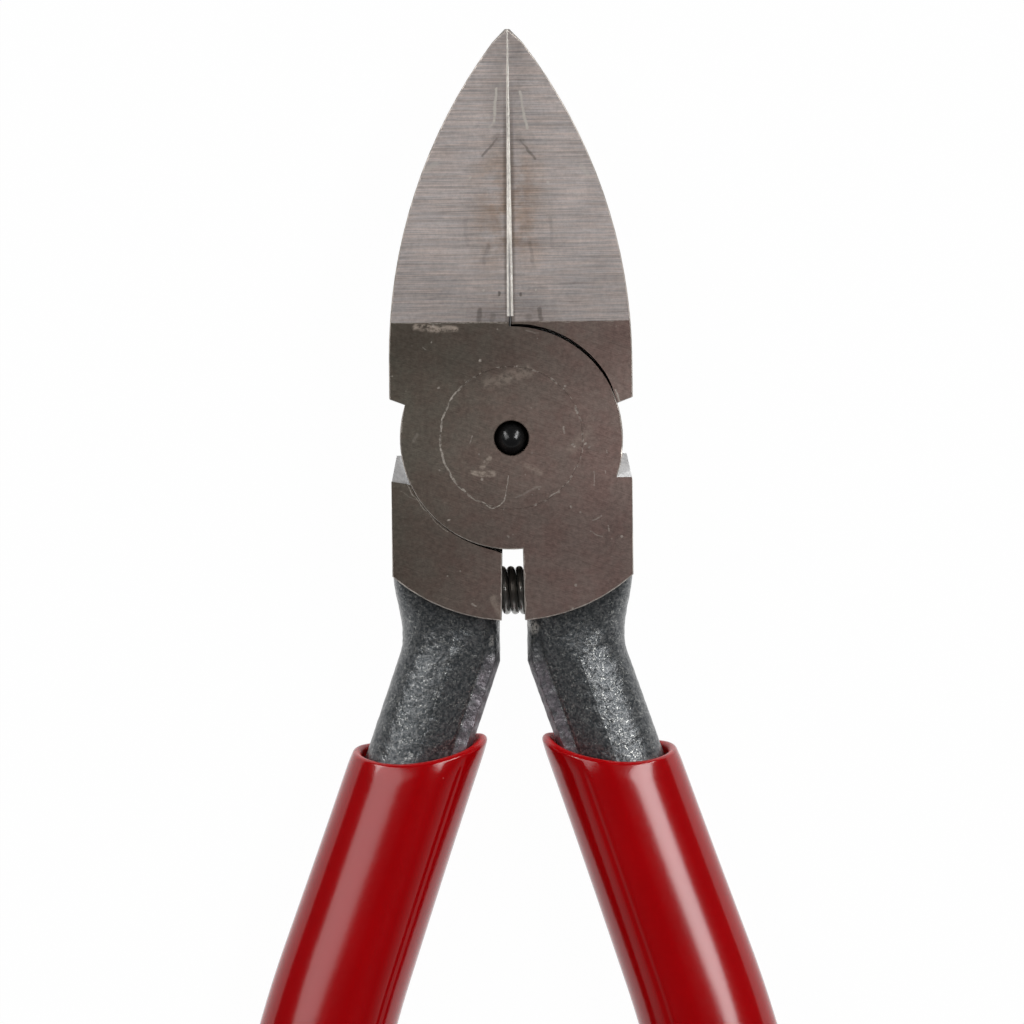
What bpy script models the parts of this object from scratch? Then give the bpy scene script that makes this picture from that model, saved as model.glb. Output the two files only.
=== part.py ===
"""Gate cutter: two forged levers in a lap joint, with a flush rivet, a return spring and vinyl grips.

The tool lies on its rear face. X is across the tool, +Y points to the blade tips and +Z to the front
face. The origin is on the pivot axis, in the plane of the rear face. The blades are closed.
"""

import math

import bmesh
import bpy
from mathutils import Matrix, Vector

MM = 0.001

# Lap joint: a disc of half the thickness on each lever, running in a recess of the other
HEAD_THICKNESS = 10.0 * MM
DISC_RADIUS = 9.3 * MM
JAW_CLEARANCE = 0.30 * MM
TANG_CLEARANCE = 0.15 * MM
LAP_GAP = 0.20 * MM
OPEN_ANGLE = math.radians(25)
STOP_CLEARANCE = 0.20 * MM
STOP_CHAMFER_LENGTH = 2.0 * MM
STOP_CHAMFER_DEPTH = 2.6 * MM
STOP_CHAMFER_INSET = 0.06 * MM
STOP_CORNER = 0.45 * MM
STOP_CORNER_HEIGHT = 2.2 * MM
RECESS_SHOULDER_DROP = 2.5 * MM
RECESS_SHOULDER_RISE = 0.6 * MM

# Head: the ground block around the disc, with a jaw above it and a tang below
JAW_OVERHANG = 0.85 * MM
JAW_SHOULDER_Y = 3.35 * MM
JAW_SHOULDER_SLOPE = 0.5 * MM
TANG_OVERHANG = 0.75 * MM
TANG_DEPTH = 5.95 * MM

# Blades: flat on the front, bevelled on the rear, meeting on the middle line
TIP_REACH = 34.1 * MM
TIP_FLAT = 0.15 * MM
TIP_CHAMFER = 1.1 * MM
TIP_HALF_WIDTH = 1.25 * MM
BLADE_ARC_START = 6.5 * MM
BLADE_FACE_MARGIN = 0.10 * MM
HEEL_LENGTH = 0.70 * MM
LAND_HEEL_LENGTH = 0.45 * MM
FACE_DROP = math.radians(1.2)
TIP_THICKNESS = 2.6 * MM
EDGE_ANGLE = math.radians(50)
EDGE_LAND = 0.22 * MM
EDGE_FLAT = 0.06 * MM
EDGE_GAP = 0.10 * MM

# Tangs: the necks between the head and the grips, either side of the spring slot
SLOT_TOP_WIDTH = 1.70 * MM
SLOT_FOOT_WIDTH = 1.94 * MM
TANG_SIDE_STEP = 0.06 * MM
TANG_FACE_STEP = 0.25 * MM
TANG_ROOT_SQUARENESS = 7.0
TANG_ROOT_LENGTH = 2.3 * MM
TANG_NECK_LENGTH = 7.4 * MM
NECK_RINGS = 6
BEND_RINGS = 4

# Handle line: straight down, a bend outwards, a straight run, a bow back and a tail drawn inwards
HANDLE_X = 5.25 * MM
HANDLE_ROOT = 0.30 * MM
HANDLE_DROP = 7.0 * MM
HANDLE_SPLAY = math.radians(19.1)
BEND_RADIUS = 8.0 * MM
HANDLE_STRAIGHT = 26.2 * MM
BOW_RADIUS = 95.0 * MM
TAIL_RADIUS = 390.0 * MM
TAIL_TURN = math.radians(6.0)
HANDLE_SIDES = 24
HANDLE_SQUARENESS = 2.1
BOW_RINGS = 10

# Grips: vinyl sleeves over the handle cores, open at the lip and closed at the end
GRIP_TOP_HALF_WIDTH = 5.25 * MM
GRIP_MIDDLE_HALF_WIDTH = 5.82 * MM
GRIP_END_HALF_WIDTH = 5.10 * MM
GRIP_HALF_THICKNESS = 5.00 * MM
GRIP_WALL = 0.90 * MM
GRIP_CLEARANCE = 0.30 * MM
LIP_DROP = 6.55 * MM
LIP_SLANT = 2.20 * MM
LIP_TILT = 1.05 * MM
LIP_DIP = 0.67 * MM
GRIP_END_ROUND = 5.0 * MM
GRIP_RINGS = 18
END_RINGS = 5

# Pivot: a rivet with a flush conical head at each end, and a ball pressed into its front end
RIVET_HEAD_RADIUS = 5.87 * MM
RIVET_SHANK_RADIUS = 3.60 * MM
RIVET_CONE_DEPTH = 1.70 * MM
RIVET_RIM = 0.35 * MM
RIVET_CLEARANCE = 0.08 * MM
RIVET_STEPS = 48
BALL_RADIUS = 1.42 * MM
BALL_CLEARANCE = 0.06 * MM
BALL_SINK = 0.10 * MM
BALL_SEGMENTS = 20
BALL_BANDS = 12

# Return spring: a compression spring across the slot, held in a pocket in each tang
SPRING_DROP = 3.4 * MM
SPRING_OUTER_RADIUS = 2.04 * MM
SPRING_WIRE_RADIUS = 0.33 * MM
SPRING_TURNS = 8.5
SPRING_POINTS_PER_TURN = 10
POCKET_DEPTH = 4.6 * MM
POCKET_CLEARANCE = 0.20 * MM
POCKET_STEPS = 24

# Sizes that follow from the ones above
MIDDLE_Z = HEAD_THICKNESS / 2
HEAD_HALF_WIDTH = DISC_RADIUS + JAW_OVERHANG
TANG_HALF_WIDTH = DISC_RADIUS + TANG_OVERHANG
HEAD_FOOT_RADIUS = DISC_RADIUS + TANG_DEPTH
SHOULDER_ANGLE = math.asin((JAW_SHOULDER_Y - JAW_SHOULDER_SLOPE) / DISC_RADIUS)
STOP_ANGLE = SHOULDER_ANGLE - OPEN_ANGLE - STOP_CLEARANCE / DISC_RADIUS
STOP_Y = DISC_RADIUS * math.sin(STOP_ANGLE)
BLADE_FACE_START = DISC_RADIUS + JAW_CLEARANCE + BLADE_FACE_MARGIN
SPRING_Y = -(DISC_RADIUS + SPRING_DROP)
STRAIGHT_START = HANDLE_DROP + BEND_RADIUS * HANDLE_SPLAY
GRIP_LIP = STRAIGHT_START + LIP_DROP

# Fineness of round outlines, limits for joining and shading, and the reach of the cutters
DISC_STEP = math.radians(4)
FOOT_STEP = math.radians(6)
BLADE_STEP = math.radians(2.3)
RECESS_CHANGE = math.radians(6)
WELD_DISTANCE = 0.001 * MM
FLAT_ANGLE = math.radians(0.2)
STEEL_SHARP_ANGLE = math.radians(30)
VINYL_SHARP_ANGLE = math.radians(50)
CUTTER_REACH = 80.0 * MM
CUTTER_MARGIN = 1.0 * MM


# Scene and helpers


def clear_scene():
    """Removes every object, so that the model starts from nothing."""
    for obj in list(bpy.data.objects):
        bpy.data.objects.remove(obj, do_unlink=True)


def new_collection(name):
    """Makes a collection in the scene."""
    made = bpy.data.collections.new(name)
    bpy.context.scene.collection.children.link(made)
    return made


def new_material(name, colour, roughness, metallic):
    """Makes a Principled material of one colour."""
    made = bpy.data.materials.new(name)
    made.use_nodes = True
    shader = made.node_tree.nodes["Principled BSDF"]
    shader.inputs["Base Color"].default_value = (*colour, 1.0)
    shader.inputs["Roughness"].default_value = roughness
    shader.inputs["Metallic"].default_value = metallic
    return made


def place(obj, group, material=None):
    """Puts an object into one collection only, with its material."""
    for old in list(obj.users_collection):
        old.objects.unlink(obj)
    group.objects.link(obj)
    if material is not None:
        obj.data.materials.clear()
        obj.data.materials.append(material)
    return obj


def as_cutter(obj, cutters):
    """Keeps an object as a tool for Booleans: drawn as wire and never rendered."""
    place(obj, cutters)
    obj.hide_render = True
    obj.display_type = "WIRE"
    return obj


def boolean(target, tool, operation):
    """Cuts or joins a tool into a target."""
    step = target.modifiers.new(tool.name, "BOOLEAN")
    step.operation = operation
    step.object = tool
    step.solver = "EXACT"


def shade_by_angle(obj, angle):
    """Shades round faces smooth and keeps the edges sharper than an angle."""
    obj.data.shade_smooth()
    obj.data.set_sharp_from_angle(angle=angle)


def arc(radius, start, end, step=DISC_STEP, centre=(0.0, 0.0)):
    """Points on a circle from one angle to another, about a step apart."""
    count = max(2, round(abs(end - start) / step))
    x, y = centre
    return [(x + radius * math.cos(a), y + radius * math.sin(a)) for a in spread(start, end, count)]


def plate(name, outline, bottom, top):
    """A flat outline in X and Y, given a thickness from bottom to top, as a closed mesh."""
    curve = bpy.data.curves.new(name + "_outline", "CURVE")
    curve.dimensions = "2D"
    curve.fill_mode = "BOTH"
    curve.extrude = (top - bottom) / 2
    spline = curve.splines.new("POLY")
    spline.points.add(len(outline) - 1)
    for point, (x, y) in zip(spline.points, outline):
        point.co = (x, y, 0, 1)
    spline.use_cyclic_u = True
    source = bpy.data.objects.new(name + "_outline", curve)
    bpy.context.scene.collection.objects.link(source)
    graph = bpy.context.evaluated_depsgraph_get()
    mesh = bpy.data.meshes.new_from_object(source.evaluated_get(graph))
    welded = bmesh.new()
    welded.from_mesh(mesh)
    bmesh.ops.remove_doubles(welded, verts=welded.verts, dist=WELD_DISTANCE)
    bmesh.ops.dissolve_limit(welded, angle_limit=FLAT_ANGLE, verts=welded.verts, edges=welded.edges)
    bmesh.ops.translate(welded, verts=welded.verts, vec=(0, 0, (bottom + top) / 2))
    bmesh.ops.recalc_face_normals(welded, faces=welded.faces)
    welded.to_mesh(mesh)
    welded.free()
    bpy.data.objects.remove(source, do_unlink=True)
    return bpy.data.objects.new(name, mesh)


def slab(name, point, normal, along):
    """A large block on the normal's side of a plane, which starts at a point and runs along a line."""
    normal = Vector(normal).normalized()
    along = Vector(along).normalized()
    across = along.cross(normal)
    turn = Matrix((across, along, normal)).transposed().to_4x4()
    shell = bmesh.new()
    bmesh.ops.create_cube(shell, size=CUTTER_REACH)
    shift = Vector((0, CUTTER_REACH / 2, CUTTER_REACH / 2))
    bmesh.ops.translate(shell, verts=shell.verts, vec=shift)
    bmesh.ops.transform(shell, verts=shell.verts, matrix=Matrix.Translation(point) @ turn)
    mesh = bpy.data.meshes.new(name)
    shell.to_mesh(mesh)
    shell.free()
    return bpy.data.objects.new(name, mesh)


def turned(name, profile, steps):
    """A profile of (radius, height) points, from the top axis down, turned about Z."""
    mesh = bpy.data.meshes.new(name)
    edges = [(i, i + 1) for i in range(len(profile) - 1)]
    mesh.from_pydata([(r, 0, z) for r, z in profile], edges, [])
    obj = bpy.data.objects.new(name, mesh)
    spin = obj.modifiers.new("turn", "SCREW")
    spin.steps = spin.render_steps = steps
    spin.use_merge_vertices = True
    spin.merge_threshold = WELD_DISTANCE
    return obj


def loft(name, rings, first_cap=True, last_cap=True):
    """Skins a list of rings that each hold the same number of points."""
    skin = bmesh.new()
    made = [[skin.verts.new(p) for p in ring] for ring in rings]
    sides = len(rings[0])
    for upper, lower in zip(made, made[1:]):
        for i in range(sides):
            j = (i + 1) % sides
            skin.faces.new((upper[i], upper[j], lower[j], lower[i]))
    if first_cap:
        skin.faces.new(made[0])
    if last_cap:
        skin.faces.new(made[-1])
    bmesh.ops.recalc_face_normals(skin, faces=skin.faces)
    mesh = bpy.data.meshes.new(name)
    skin.to_mesh(mesh)
    skin.free()
    return bpy.data.objects.new(name, mesh)


def smooth(t):
    """Eases from 0 to 1 with a level start and end."""
    t = min(1.0, max(0.0, t))
    return t * t * (3 - 2 * t)


def blend(first, second, t):
    """The value a share t of the way from the first to the second."""
    return first + (second - first) * t


def spread(start, end, count):
    """Evenly spaced values from start to end, with count steps between."""
    return [blend(start, end, i / count) for i in range(count + 1)]


# Handle line and its sections, for the handle on the +X side


def handle_runs():
    """The handle line as runs of (length, turn): straight runs and arcs, from the head to the end."""
    return [
        (HANDLE_DROP, 0.0),
        (BEND_RADIUS * HANDLE_SPLAY, HANDLE_SPLAY),
        (HANDLE_STRAIGHT, 0.0),
        (BOW_RADIUS * HANDLE_SPLAY, -HANDLE_SPLAY),
        (TAIL_RADIUS * TAIL_TURN, -TAIL_TURN),
    ]


HANDLE_LENGTH = sum(length for length, _ in handle_runs())


def handle_point(s):
    """Position and outward direction of the handle line at a distance s from its start."""
    x, y, heading = HANDLE_X, -(DISC_RADIUS + HANDLE_ROOT), 0.0
    for length, turn in handle_runs():
        run = min(s, length)
        half_turn = turn * run / length / 2
        chord = run * math.sin(half_turn) / half_turn if half_turn else run
        x += chord * math.sin(heading + half_turn)
        y -= chord * math.cos(heading + half_turn)
        heading += 2 * half_turn
        s -= run
    return Vector((x, y, 0)), Vector((math.cos(heading), math.sin(heading), 0))


def ring(s, outer, inner, half_thickness, squareness, side):
    """A rounded section of the handle: a superellipse with its own reach on the outer and inner side."""
    middle, outward = handle_point(s)
    points = []
    for i in range(HANDLE_SIDES):
        a = 2 * math.pi * i / HANDLE_SIDES
        across = math.copysign(abs(math.cos(a)) ** (2 / squareness), math.cos(a))
        up = math.copysign(abs(math.sin(a)) ** (2 / squareness), math.sin(a))
        p = middle + outward * across * (outer if across > 0 else inner)
        points.append(Vector((side * p.x, p.y, MIDDLE_Z + half_thickness * up)))
    return points


def grip_half_width(s):
    """Half the width of a grip at a distance s along the handle line: fullest in the middle."""
    t = (s - GRIP_LIP) / (HANDLE_LENGTH - GRIP_LIP)
    upper = blend(GRIP_TOP_HALF_WIDTH, GRIP_MIDDLE_HALF_WIDTH, smooth(2 * t))
    return blend(upper, GRIP_END_HALF_WIDTH, smooth(2 * t - 1))


def end_draw(s, fit):
    """How far the round end draws a section in at s: 1 before it and 0 at its point."""
    past = max(0.0, s - HANDLE_LENGTH + GRIP_END_ROUND) / (GRIP_END_ROUND - fit)
    return math.sqrt(max(0.0, 1 - past * past))


def core_ring(s, side):
    """A section of the forged handle: boxy at the head, then a rounded bar that the grip fits over."""
    fit = GRIP_WALL + GRIP_CLEARANCE
    draw = end_draw(s, fit)
    ease = smooth((s - TANG_ROOT_LENGTH) / (TANG_NECK_LENGTH - TANG_ROOT_LENGTH))
    bar = grip_half_width(s) - fit
    outer = blend(TANG_HALF_WIDTH - TANG_SIDE_STEP - HANDLE_X, bar, ease)
    inner = blend(HANDLE_X - SLOT_FOOT_WIDTH / 2 - TANG_SIDE_STEP, bar, ease)
    thick = blend(MIDDLE_Z - TANG_FACE_STEP, GRIP_HALF_THICKNESS - fit, ease)
    square = blend(TANG_ROOT_SQUARENESS, HANDLE_SQUARENESS, ease)
    return ring(s, outer * draw, inner * draw, thick * draw, square, side)


def handle_core(name, side):
    """The forged handle from inside the head to the grip's closed end, with a round end of its own."""
    end = HANDLE_LENGTH - GRIP_END_ROUND
    tip = GRIP_END_ROUND - GRIP_WALL - GRIP_CLEARANCE
    bow_start = STRAIGHT_START + HANDLE_STRAIGHT
    neck = spread(0, TANG_NECK_LENGTH, NECK_RINGS)
    bend = spread(TANG_NECK_LENGTH, STRAIGHT_START, BEND_RINGS)
    bow = spread(bow_start, end, BOW_RINGS)
    dome = [end + tip * math.sin(i / END_RINGS * math.pi / 2) for i in range(1, END_RINGS)]
    stops = sorted({round(s, 6) for s in neck + bend + bow + dome})
    return loft(name, [core_ring(s, side) for s in stops])


# Levers


def head_outline(side):
    """The head of a lever seen from the front, with its jaw on the -X side and its tang on +X."""
    rise = TIP_REACH - TIP_CHAMFER - BLADE_ARC_START
    drawn_in = HEAD_HALF_WIDTH - TIP_HALF_WIDTH
    radius = (rise**2 + drawn_in**2) / (2 * drawn_in)
    centre = (radius - HEAD_HALF_WIDTH, BLADE_ARC_START)
    blade = arc(radius, math.pi - math.asin(rise / radius), math.pi, BLADE_STEP, centre)
    jaw_meets_disc = math.pi - SHOULDER_ANGLE
    slot_start = 1.5 * math.pi + math.asin(SLOT_TOP_WIDTH / 2 / DISC_RADIUS)
    foot_start = -math.acos(SLOT_FOOT_WIDTH / 2 / HEAD_FOOT_RADIUS)
    foot_end = -math.acos(TANG_HALF_WIDTH / HEAD_FOOT_RADIUS)
    points = [(-EDGE_GAP / 2, TIP_REACH), (-EDGE_GAP / 2 - TIP_FLAT, TIP_REACH)]
    points += blade
    points += [(-HEAD_HALF_WIDTH, JAW_SHOULDER_Y)]
    points += arc(DISC_RADIUS, jaw_meets_disc, slot_start)
    points += arc(HEAD_FOOT_RADIUS, foot_start, foot_end, FOOT_STEP)
    points += [(TANG_HALF_WIDTH, STOP_Y - STOP_CORNER_HEIGHT), (TANG_HALF_WIDTH - STOP_CORNER, STOP_Y)]
    points += arc(DISC_RADIUS, STOP_ANGLE, math.pi / 2)[:-1]
    points += [(-EDGE_GAP / 2, DISC_RADIUS)]
    return [(side * x, y) for x, y in points]


def recess_outline(side):
    """Where the other lever's disc and shoulder run: a circle with a notch through the tang's side."""
    jaw = DISC_RADIUS + JAW_CLEARANCE
    tang = DISC_RADIUS + TANG_CLEARANCE
    shoulder_y = STOP_Y - RECESS_SHOULDER_DROP
    notch = math.asin(shoulder_y / tang)
    out = HEAD_HALF_WIDTH + CUTTER_MARGIN
    points = arc(jaw, RECESS_CHANGE, math.pi - RECESS_CHANGE)
    points += arc(tang, math.pi + RECESS_CHANGE, 2 * math.pi + notch)
    points += [(out, shoulder_y + RECESS_SHOULDER_RISE), (out, points[0][1])]
    return [(side * x, y) for x, y in points]


def stop_chamfer(name, side, front):
    """A sloping cut on the shoulder beside the disc, down from the ground face to the stop."""
    inner = DISC_RADIUS + STOP_CHAMFER_INSET
    foot_y = STOP_Y - STOP_CHAMFER_LENGTH
    low = math.asin((foot_y - CUTTER_MARGIN) / inner)
    out = HEAD_HALF_WIDTH + CUTTER_MARGIN
    outline = [(side * x, y) for x, y in arc(inner, low, STOP_ANGLE / 2)]
    outline += [(side * out, outline[-1][1]), (side * out, outline[0][1])]
    slope = STOP_CHAMFER_DEPTH / STOP_CHAMFER_LENGTH
    wedge = plate(name, outline, 0, HEAD_THICKNESS + (2 + slope) * CUTTER_MARGIN)
    for vertex in wedge.data.vertices:
        if vertex.co.z < MIDDLE_Z:
            vertex.co.z = HEAD_THICKNESS - slope * (vertex.co.y - foot_y)
        if not front:
            vertex.co.z = HEAD_THICKNESS - vertex.co.z
    if not front:
        wedge.data.flip_normals()
    return wedge


def blade_cutters(name, side):
    """The ground faces of a blade: its flat front, its tapered rear, its bevel and the land at its edge."""
    front = Vector((0, math.sin(FACE_DROP), math.cos(FACE_DROP)))
    edge = Vector((0, math.cos(FACE_DROP), -math.sin(FACE_DROP)))
    reach = TIP_REACH - BLADE_FACE_START
    rise = HEAD_THICKNESS - math.tan(FACE_DROP) * reach - TIP_THICKNESS
    taper = math.atan2(rise, reach)
    rear = Vector((0, math.sin(taper), -math.cos(taper)))
    rear_line = Vector((0, math.cos(taper), math.sin(taper)))
    inward = Vector((side, 0, 0))
    bevel = inward * math.sin(EDGE_ANGLE) - front * math.cos(EDGE_ANGLE)
    land = inward + front
    start = Vector((0, BLADE_FACE_START, HEAD_THICKNESS))
    back = Vector((0, BLADE_FACE_START, 0))
    land_start = start + edge * LAND_HEEL_LENGTH - inward * (EDGE_GAP / 2 + EDGE_LAND)
    heel = start + edge * HEEL_LENGTH - inward * EDGE_GAP / 2
    heel -= front * (EDGE_LAND + EDGE_FLAT)
    centred = CUTTER_REACH / 2
    return [
        slab(name + "_front_face", start - edge * centred, front, edge),
        slab(name + "_rear_face", back - rear_line * centred, rear, rear_line),
        slab(name + "_bevel", heel, bevel, edge),
        slab(name + "_land", land_start, land, edge),
    ]


def rivet_profile(grow, over):
    """Half the rivet's section from its front face down: rim, cone and shank, and the same below."""
    upper = [
        (RIVET_HEAD_RADIUS + grow, HEAD_THICKNESS + over),
        (RIVET_HEAD_RADIUS + grow, HEAD_THICKNESS - RIVET_RIM - grow),
        (RIVET_SHANK_RADIUS + grow, HEAD_THICKNESS - RIVET_CONE_DEPTH - grow),
    ]
    lower = [(r, HEAD_THICKNESS - z) for r, z in reversed(upper)]
    return upper + lower


def lever(name, side, front_disc, parts, cutters, material):
    """A forged lever: jaw, half-thickness disc, tang and handle core. The jaw is on -X where side is 1."""
    body = plate(name, head_outline(side), 0, HEAD_THICKNESS)
    core = as_cutter(handle_core(name + "_core", side), cutters)
    boolean(body, core, "UNION")
    if front_disc:
        span = (-CUTTER_MARGIN, MIDDLE_Z + LAP_GAP / 2)
    else:
        span = (MIDDLE_Z - LAP_GAP / 2, HEAD_THICKNESS + CUTTER_MARGIN)
    seat = [(0, HEAD_THICKNESS + CUTTER_MARGIN)] + rivet_profile(RIVET_CLEARANCE, CUTTER_MARGIN)
    seat += [(0, -CUTTER_MARGIN)]
    pocket_end = SLOT_TOP_WIDTH / 2 + POCKET_DEPTH
    tools = [
        plate(name + "_recess", recess_outline(side), *span),
        stop_chamfer(name + "_stop", side, front_disc),
        *blade_cutters(name, side),
        turned(name + "_rivet_seat", seat, RIVET_STEPS),
        spring_pocket(name + "_pocket", side, pocket_end),
    ]
    for tool in tools:
        boolean(body, as_cutter(tool, cutters), "DIFFERENCE")
    shade_by_angle(body, STEEL_SHARP_ANGLE)
    return place(body, parts, material)


def spring_pocket(name, side, end):
    """A blind round hole across the tang, from the slot to the pocket's floor."""
    drill = bmesh.new()
    radius = SPRING_OUTER_RADIUS + POCKET_CLEARANCE
    bmesh.ops.create_cone(
        drill, cap_ends=True, segments=POCKET_STEPS, radius1=radius, radius2=radius, depth=end
    )
    along = Matrix.Rotation(math.pi / 2, 4, "Y")
    move = Matrix.Translation((side * end / 2, SPRING_Y, MIDDLE_Z))
    bmesh.ops.transform(drill, verts=drill.verts, matrix=move @ along)
    mesh = bpy.data.meshes.new(name)
    drill.to_mesh(mesh)
    drill.free()
    return bpy.data.objects.new(name, mesh)


# Pivot


def rivet(name, parts, material):
    """The pivot: flush with both faces, with a blind hole in its front end for the ball."""
    hole = BALL_RADIUS + BALL_CLEARANCE
    floor = HEAD_THICKNESS - BALL_SINK - 2 * BALL_RADIUS - BALL_CLEARANCE
    profile = [(0, floor), (hole, floor), (hole, HEAD_THICKNESS)]
    profile += rivet_profile(0, 0) + [(0, 0)]
    body = turned(name, profile, RIVET_STEPS)
    return place(body, parts, material)


def ball(name, parts, material):
    """The ball pressed into the rivet, a hair below its face."""
    shell = bmesh.new()
    bmesh.ops.create_uvsphere(
        shell, u_segments=BALL_SEGMENTS, v_segments=BALL_BANDS, radius=BALL_RADIUS
    )
    mesh = bpy.data.meshes.new(name)
    shell.to_mesh(mesh)
    shell.free()
    mesh.shade_smooth()
    body = bpy.data.objects.new(name, mesh)
    body.location = (0, 0, HEAD_THICKNESS - BALL_SINK - BALL_RADIUS)
    return place(body, parts, material)


# Return spring


def spring_points():
    """The wire's middle line: a helix about X between the pocket floors, with straight ends."""
    radius = SPRING_OUTER_RADIUS - SPRING_WIRE_RADIUS
    floor = SLOT_TOP_WIDTH / 2 + POCKET_DEPTH
    reach = floor - POCKET_CLEARANCE - SPRING_WIRE_RADIUS
    count = round(SPRING_TURNS * SPRING_POINTS_PER_TURN)
    points = []
    for i in range(count + 1):
        a = 2 * math.pi * SPRING_TURNS * i / count
        x = blend(-reach, reach, i / count)
        points.append(Vector((x, SPRING_Y + radius * math.cos(a), MIDDLE_Z + radius * math.sin(a))))
    first = points[0] - points[1]
    last = points[-1] - points[-2]
    run = 2 * SPRING_WIRE_RADIUS
    return [points[0] + first.normalized() * run] + points + [points[-1] + last.normalized() * run]


def least_gap(points, radius):
    """The least gap between turns of a wire: points more than half a turn apart, less the wire."""
    apart = SPRING_POINTS_PER_TURN // 2
    nearest = min(
        (points[j] - points[i]).length
        for i in range(len(points))
        for j in range(i + apart, len(points))
    )
    return nearest - 2 * radius


def spring(name, parts, material):
    """The coiled wire, as one tube."""
    points = spring_points()
    curve = bpy.data.curves.new(name, "CURVE")
    curve.dimensions = "3D"
    curve.bevel_depth = SPRING_WIRE_RADIUS
    curve.bevel_resolution = 1
    curve.use_fill_caps = True
    spline = curve.splines.new("POLY")
    spline.points.add(len(points) - 1)
    for knot, p in zip(spline.points, points):
        knot.co = (*p, 1)
    body = bpy.data.objects.new(name, curve)
    print(f"{name}: least gap between turns {least_gap(points, SPRING_WIRE_RADIUS) / MM:.2f} mm")
    return place(body, parts, material)


# Grips


def lip_start(angle):
    """Where the sleeve starts along the handle line: slanted, tilted to the rear and dipped on both faces."""
    across, up = math.cos(angle), math.sin(angle)
    return GRIP_LIP + LIP_SLANT * across + LIP_TILT * up + LIP_DIP * up * up


def grip_ring(t, side):
    """A ring of the sleeve's outside, from the lip at 0 to the end at 1, drawn in over the round end."""
    points = []
    for i in range(HANDLE_SIDES):
        s = blend(lip_start(2 * math.pi * i / HANDLE_SIDES), HANDLE_LENGTH, t)
        draw = end_draw(s, 0)
        width = grip_half_width(s) * draw
        whole = ring(s, width, width, GRIP_HALF_THICKNESS * draw, HANDLE_SQUARENESS, side)
        points.append(whole[i])
    return points


def grip(name, side, parts, material):
    """A sleeve: its outside as a skin from the lip to a round end, then thickened inwards."""
    round_start = 1 - GRIP_END_ROUND / (HANDLE_LENGTH - GRIP_LIP)
    steps = spread(0, round_start, GRIP_RINGS)
    steps += [blend(round_start, 1, math.sin(i / END_RINGS * math.pi / 2)) for i in range(1, END_RINGS)]
    rings = [grip_ring(t, side) for t in steps]
    body = loft(name, rings, first_cap=False, last_cap=False)
    close_end(body, handle_point(HANDLE_LENGTH)[0], side)
    wall = body.modifiers.new("wall", "SOLIDIFY")
    wall.thickness = GRIP_WALL
    wall.offset = -1
    wall.use_even_offset = True
    shade_by_angle(body, VINYL_SHARP_ANGLE)
    return place(body, parts, material)


def close_end(body, end, side):
    """Closes a sleeve's last ring on a point at the end of the handle line."""
    skin = bmesh.new()
    skin.from_mesh(body.data)
    skin.verts.ensure_lookup_table()
    last = skin.verts[-HANDLE_SIDES:]
    pole = skin.verts.new((side * end.x, end.y, MIDDLE_Z))
    for i in range(HANDLE_SIDES):
        skin.faces.new((last[i], last[(i + 1) % HANDLE_SIDES], pole))
    bmesh.ops.recalc_face_normals(skin, faces=skin.faces)
    skin.to_mesh(body.data)
    skin.free()


def main():
    clear_scene()
    parts = new_collection("gate_cutter")
    cutters = new_collection("cutters")
    steel = new_material("forged_steel", (0.12, 0.10, 0.09), 0.45, 1.0)
    black = new_material("blackened_steel", (0.012, 0.012, 0.013), 0.25, 0.9)
    vinyl = new_material("red_vinyl", (0.27, 0.004, 0.008), 0.25, 0.0)
    pivot = bpy.data.objects.new("pivot_axis", None)
    parts.objects.link(pivot)
    lever("front_lever", 1, True, parts, cutters, steel)
    rear = lever("rear_lever", -1, False, parts, cutters, steel)
    rivet("pivot_rivet", parts, steel)
    ball("pivot_ball", parts, black)
    spring("return_spring", parts, black)
    grip("right_grip", 1, parts, vinyl)
    left = grip("left_grip", -1, parts, vinyl)
    for turning in (rear, left):
        turning.parent = pivot


main()
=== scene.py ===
"""The finished look of a gate cutter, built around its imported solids.

Lengths are in millimetres until a mesh is made in metres. X is across the tool, +Y points to the
blade tips and +Z to the front face. The pivot axis is Z, and the tool rests on Z = 0.
"""

import logging
import math
from dataclasses import dataclass
from enum import Enum, IntEnum
from functools import reduce
from operator import or_
from typing import TypeAlias

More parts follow.
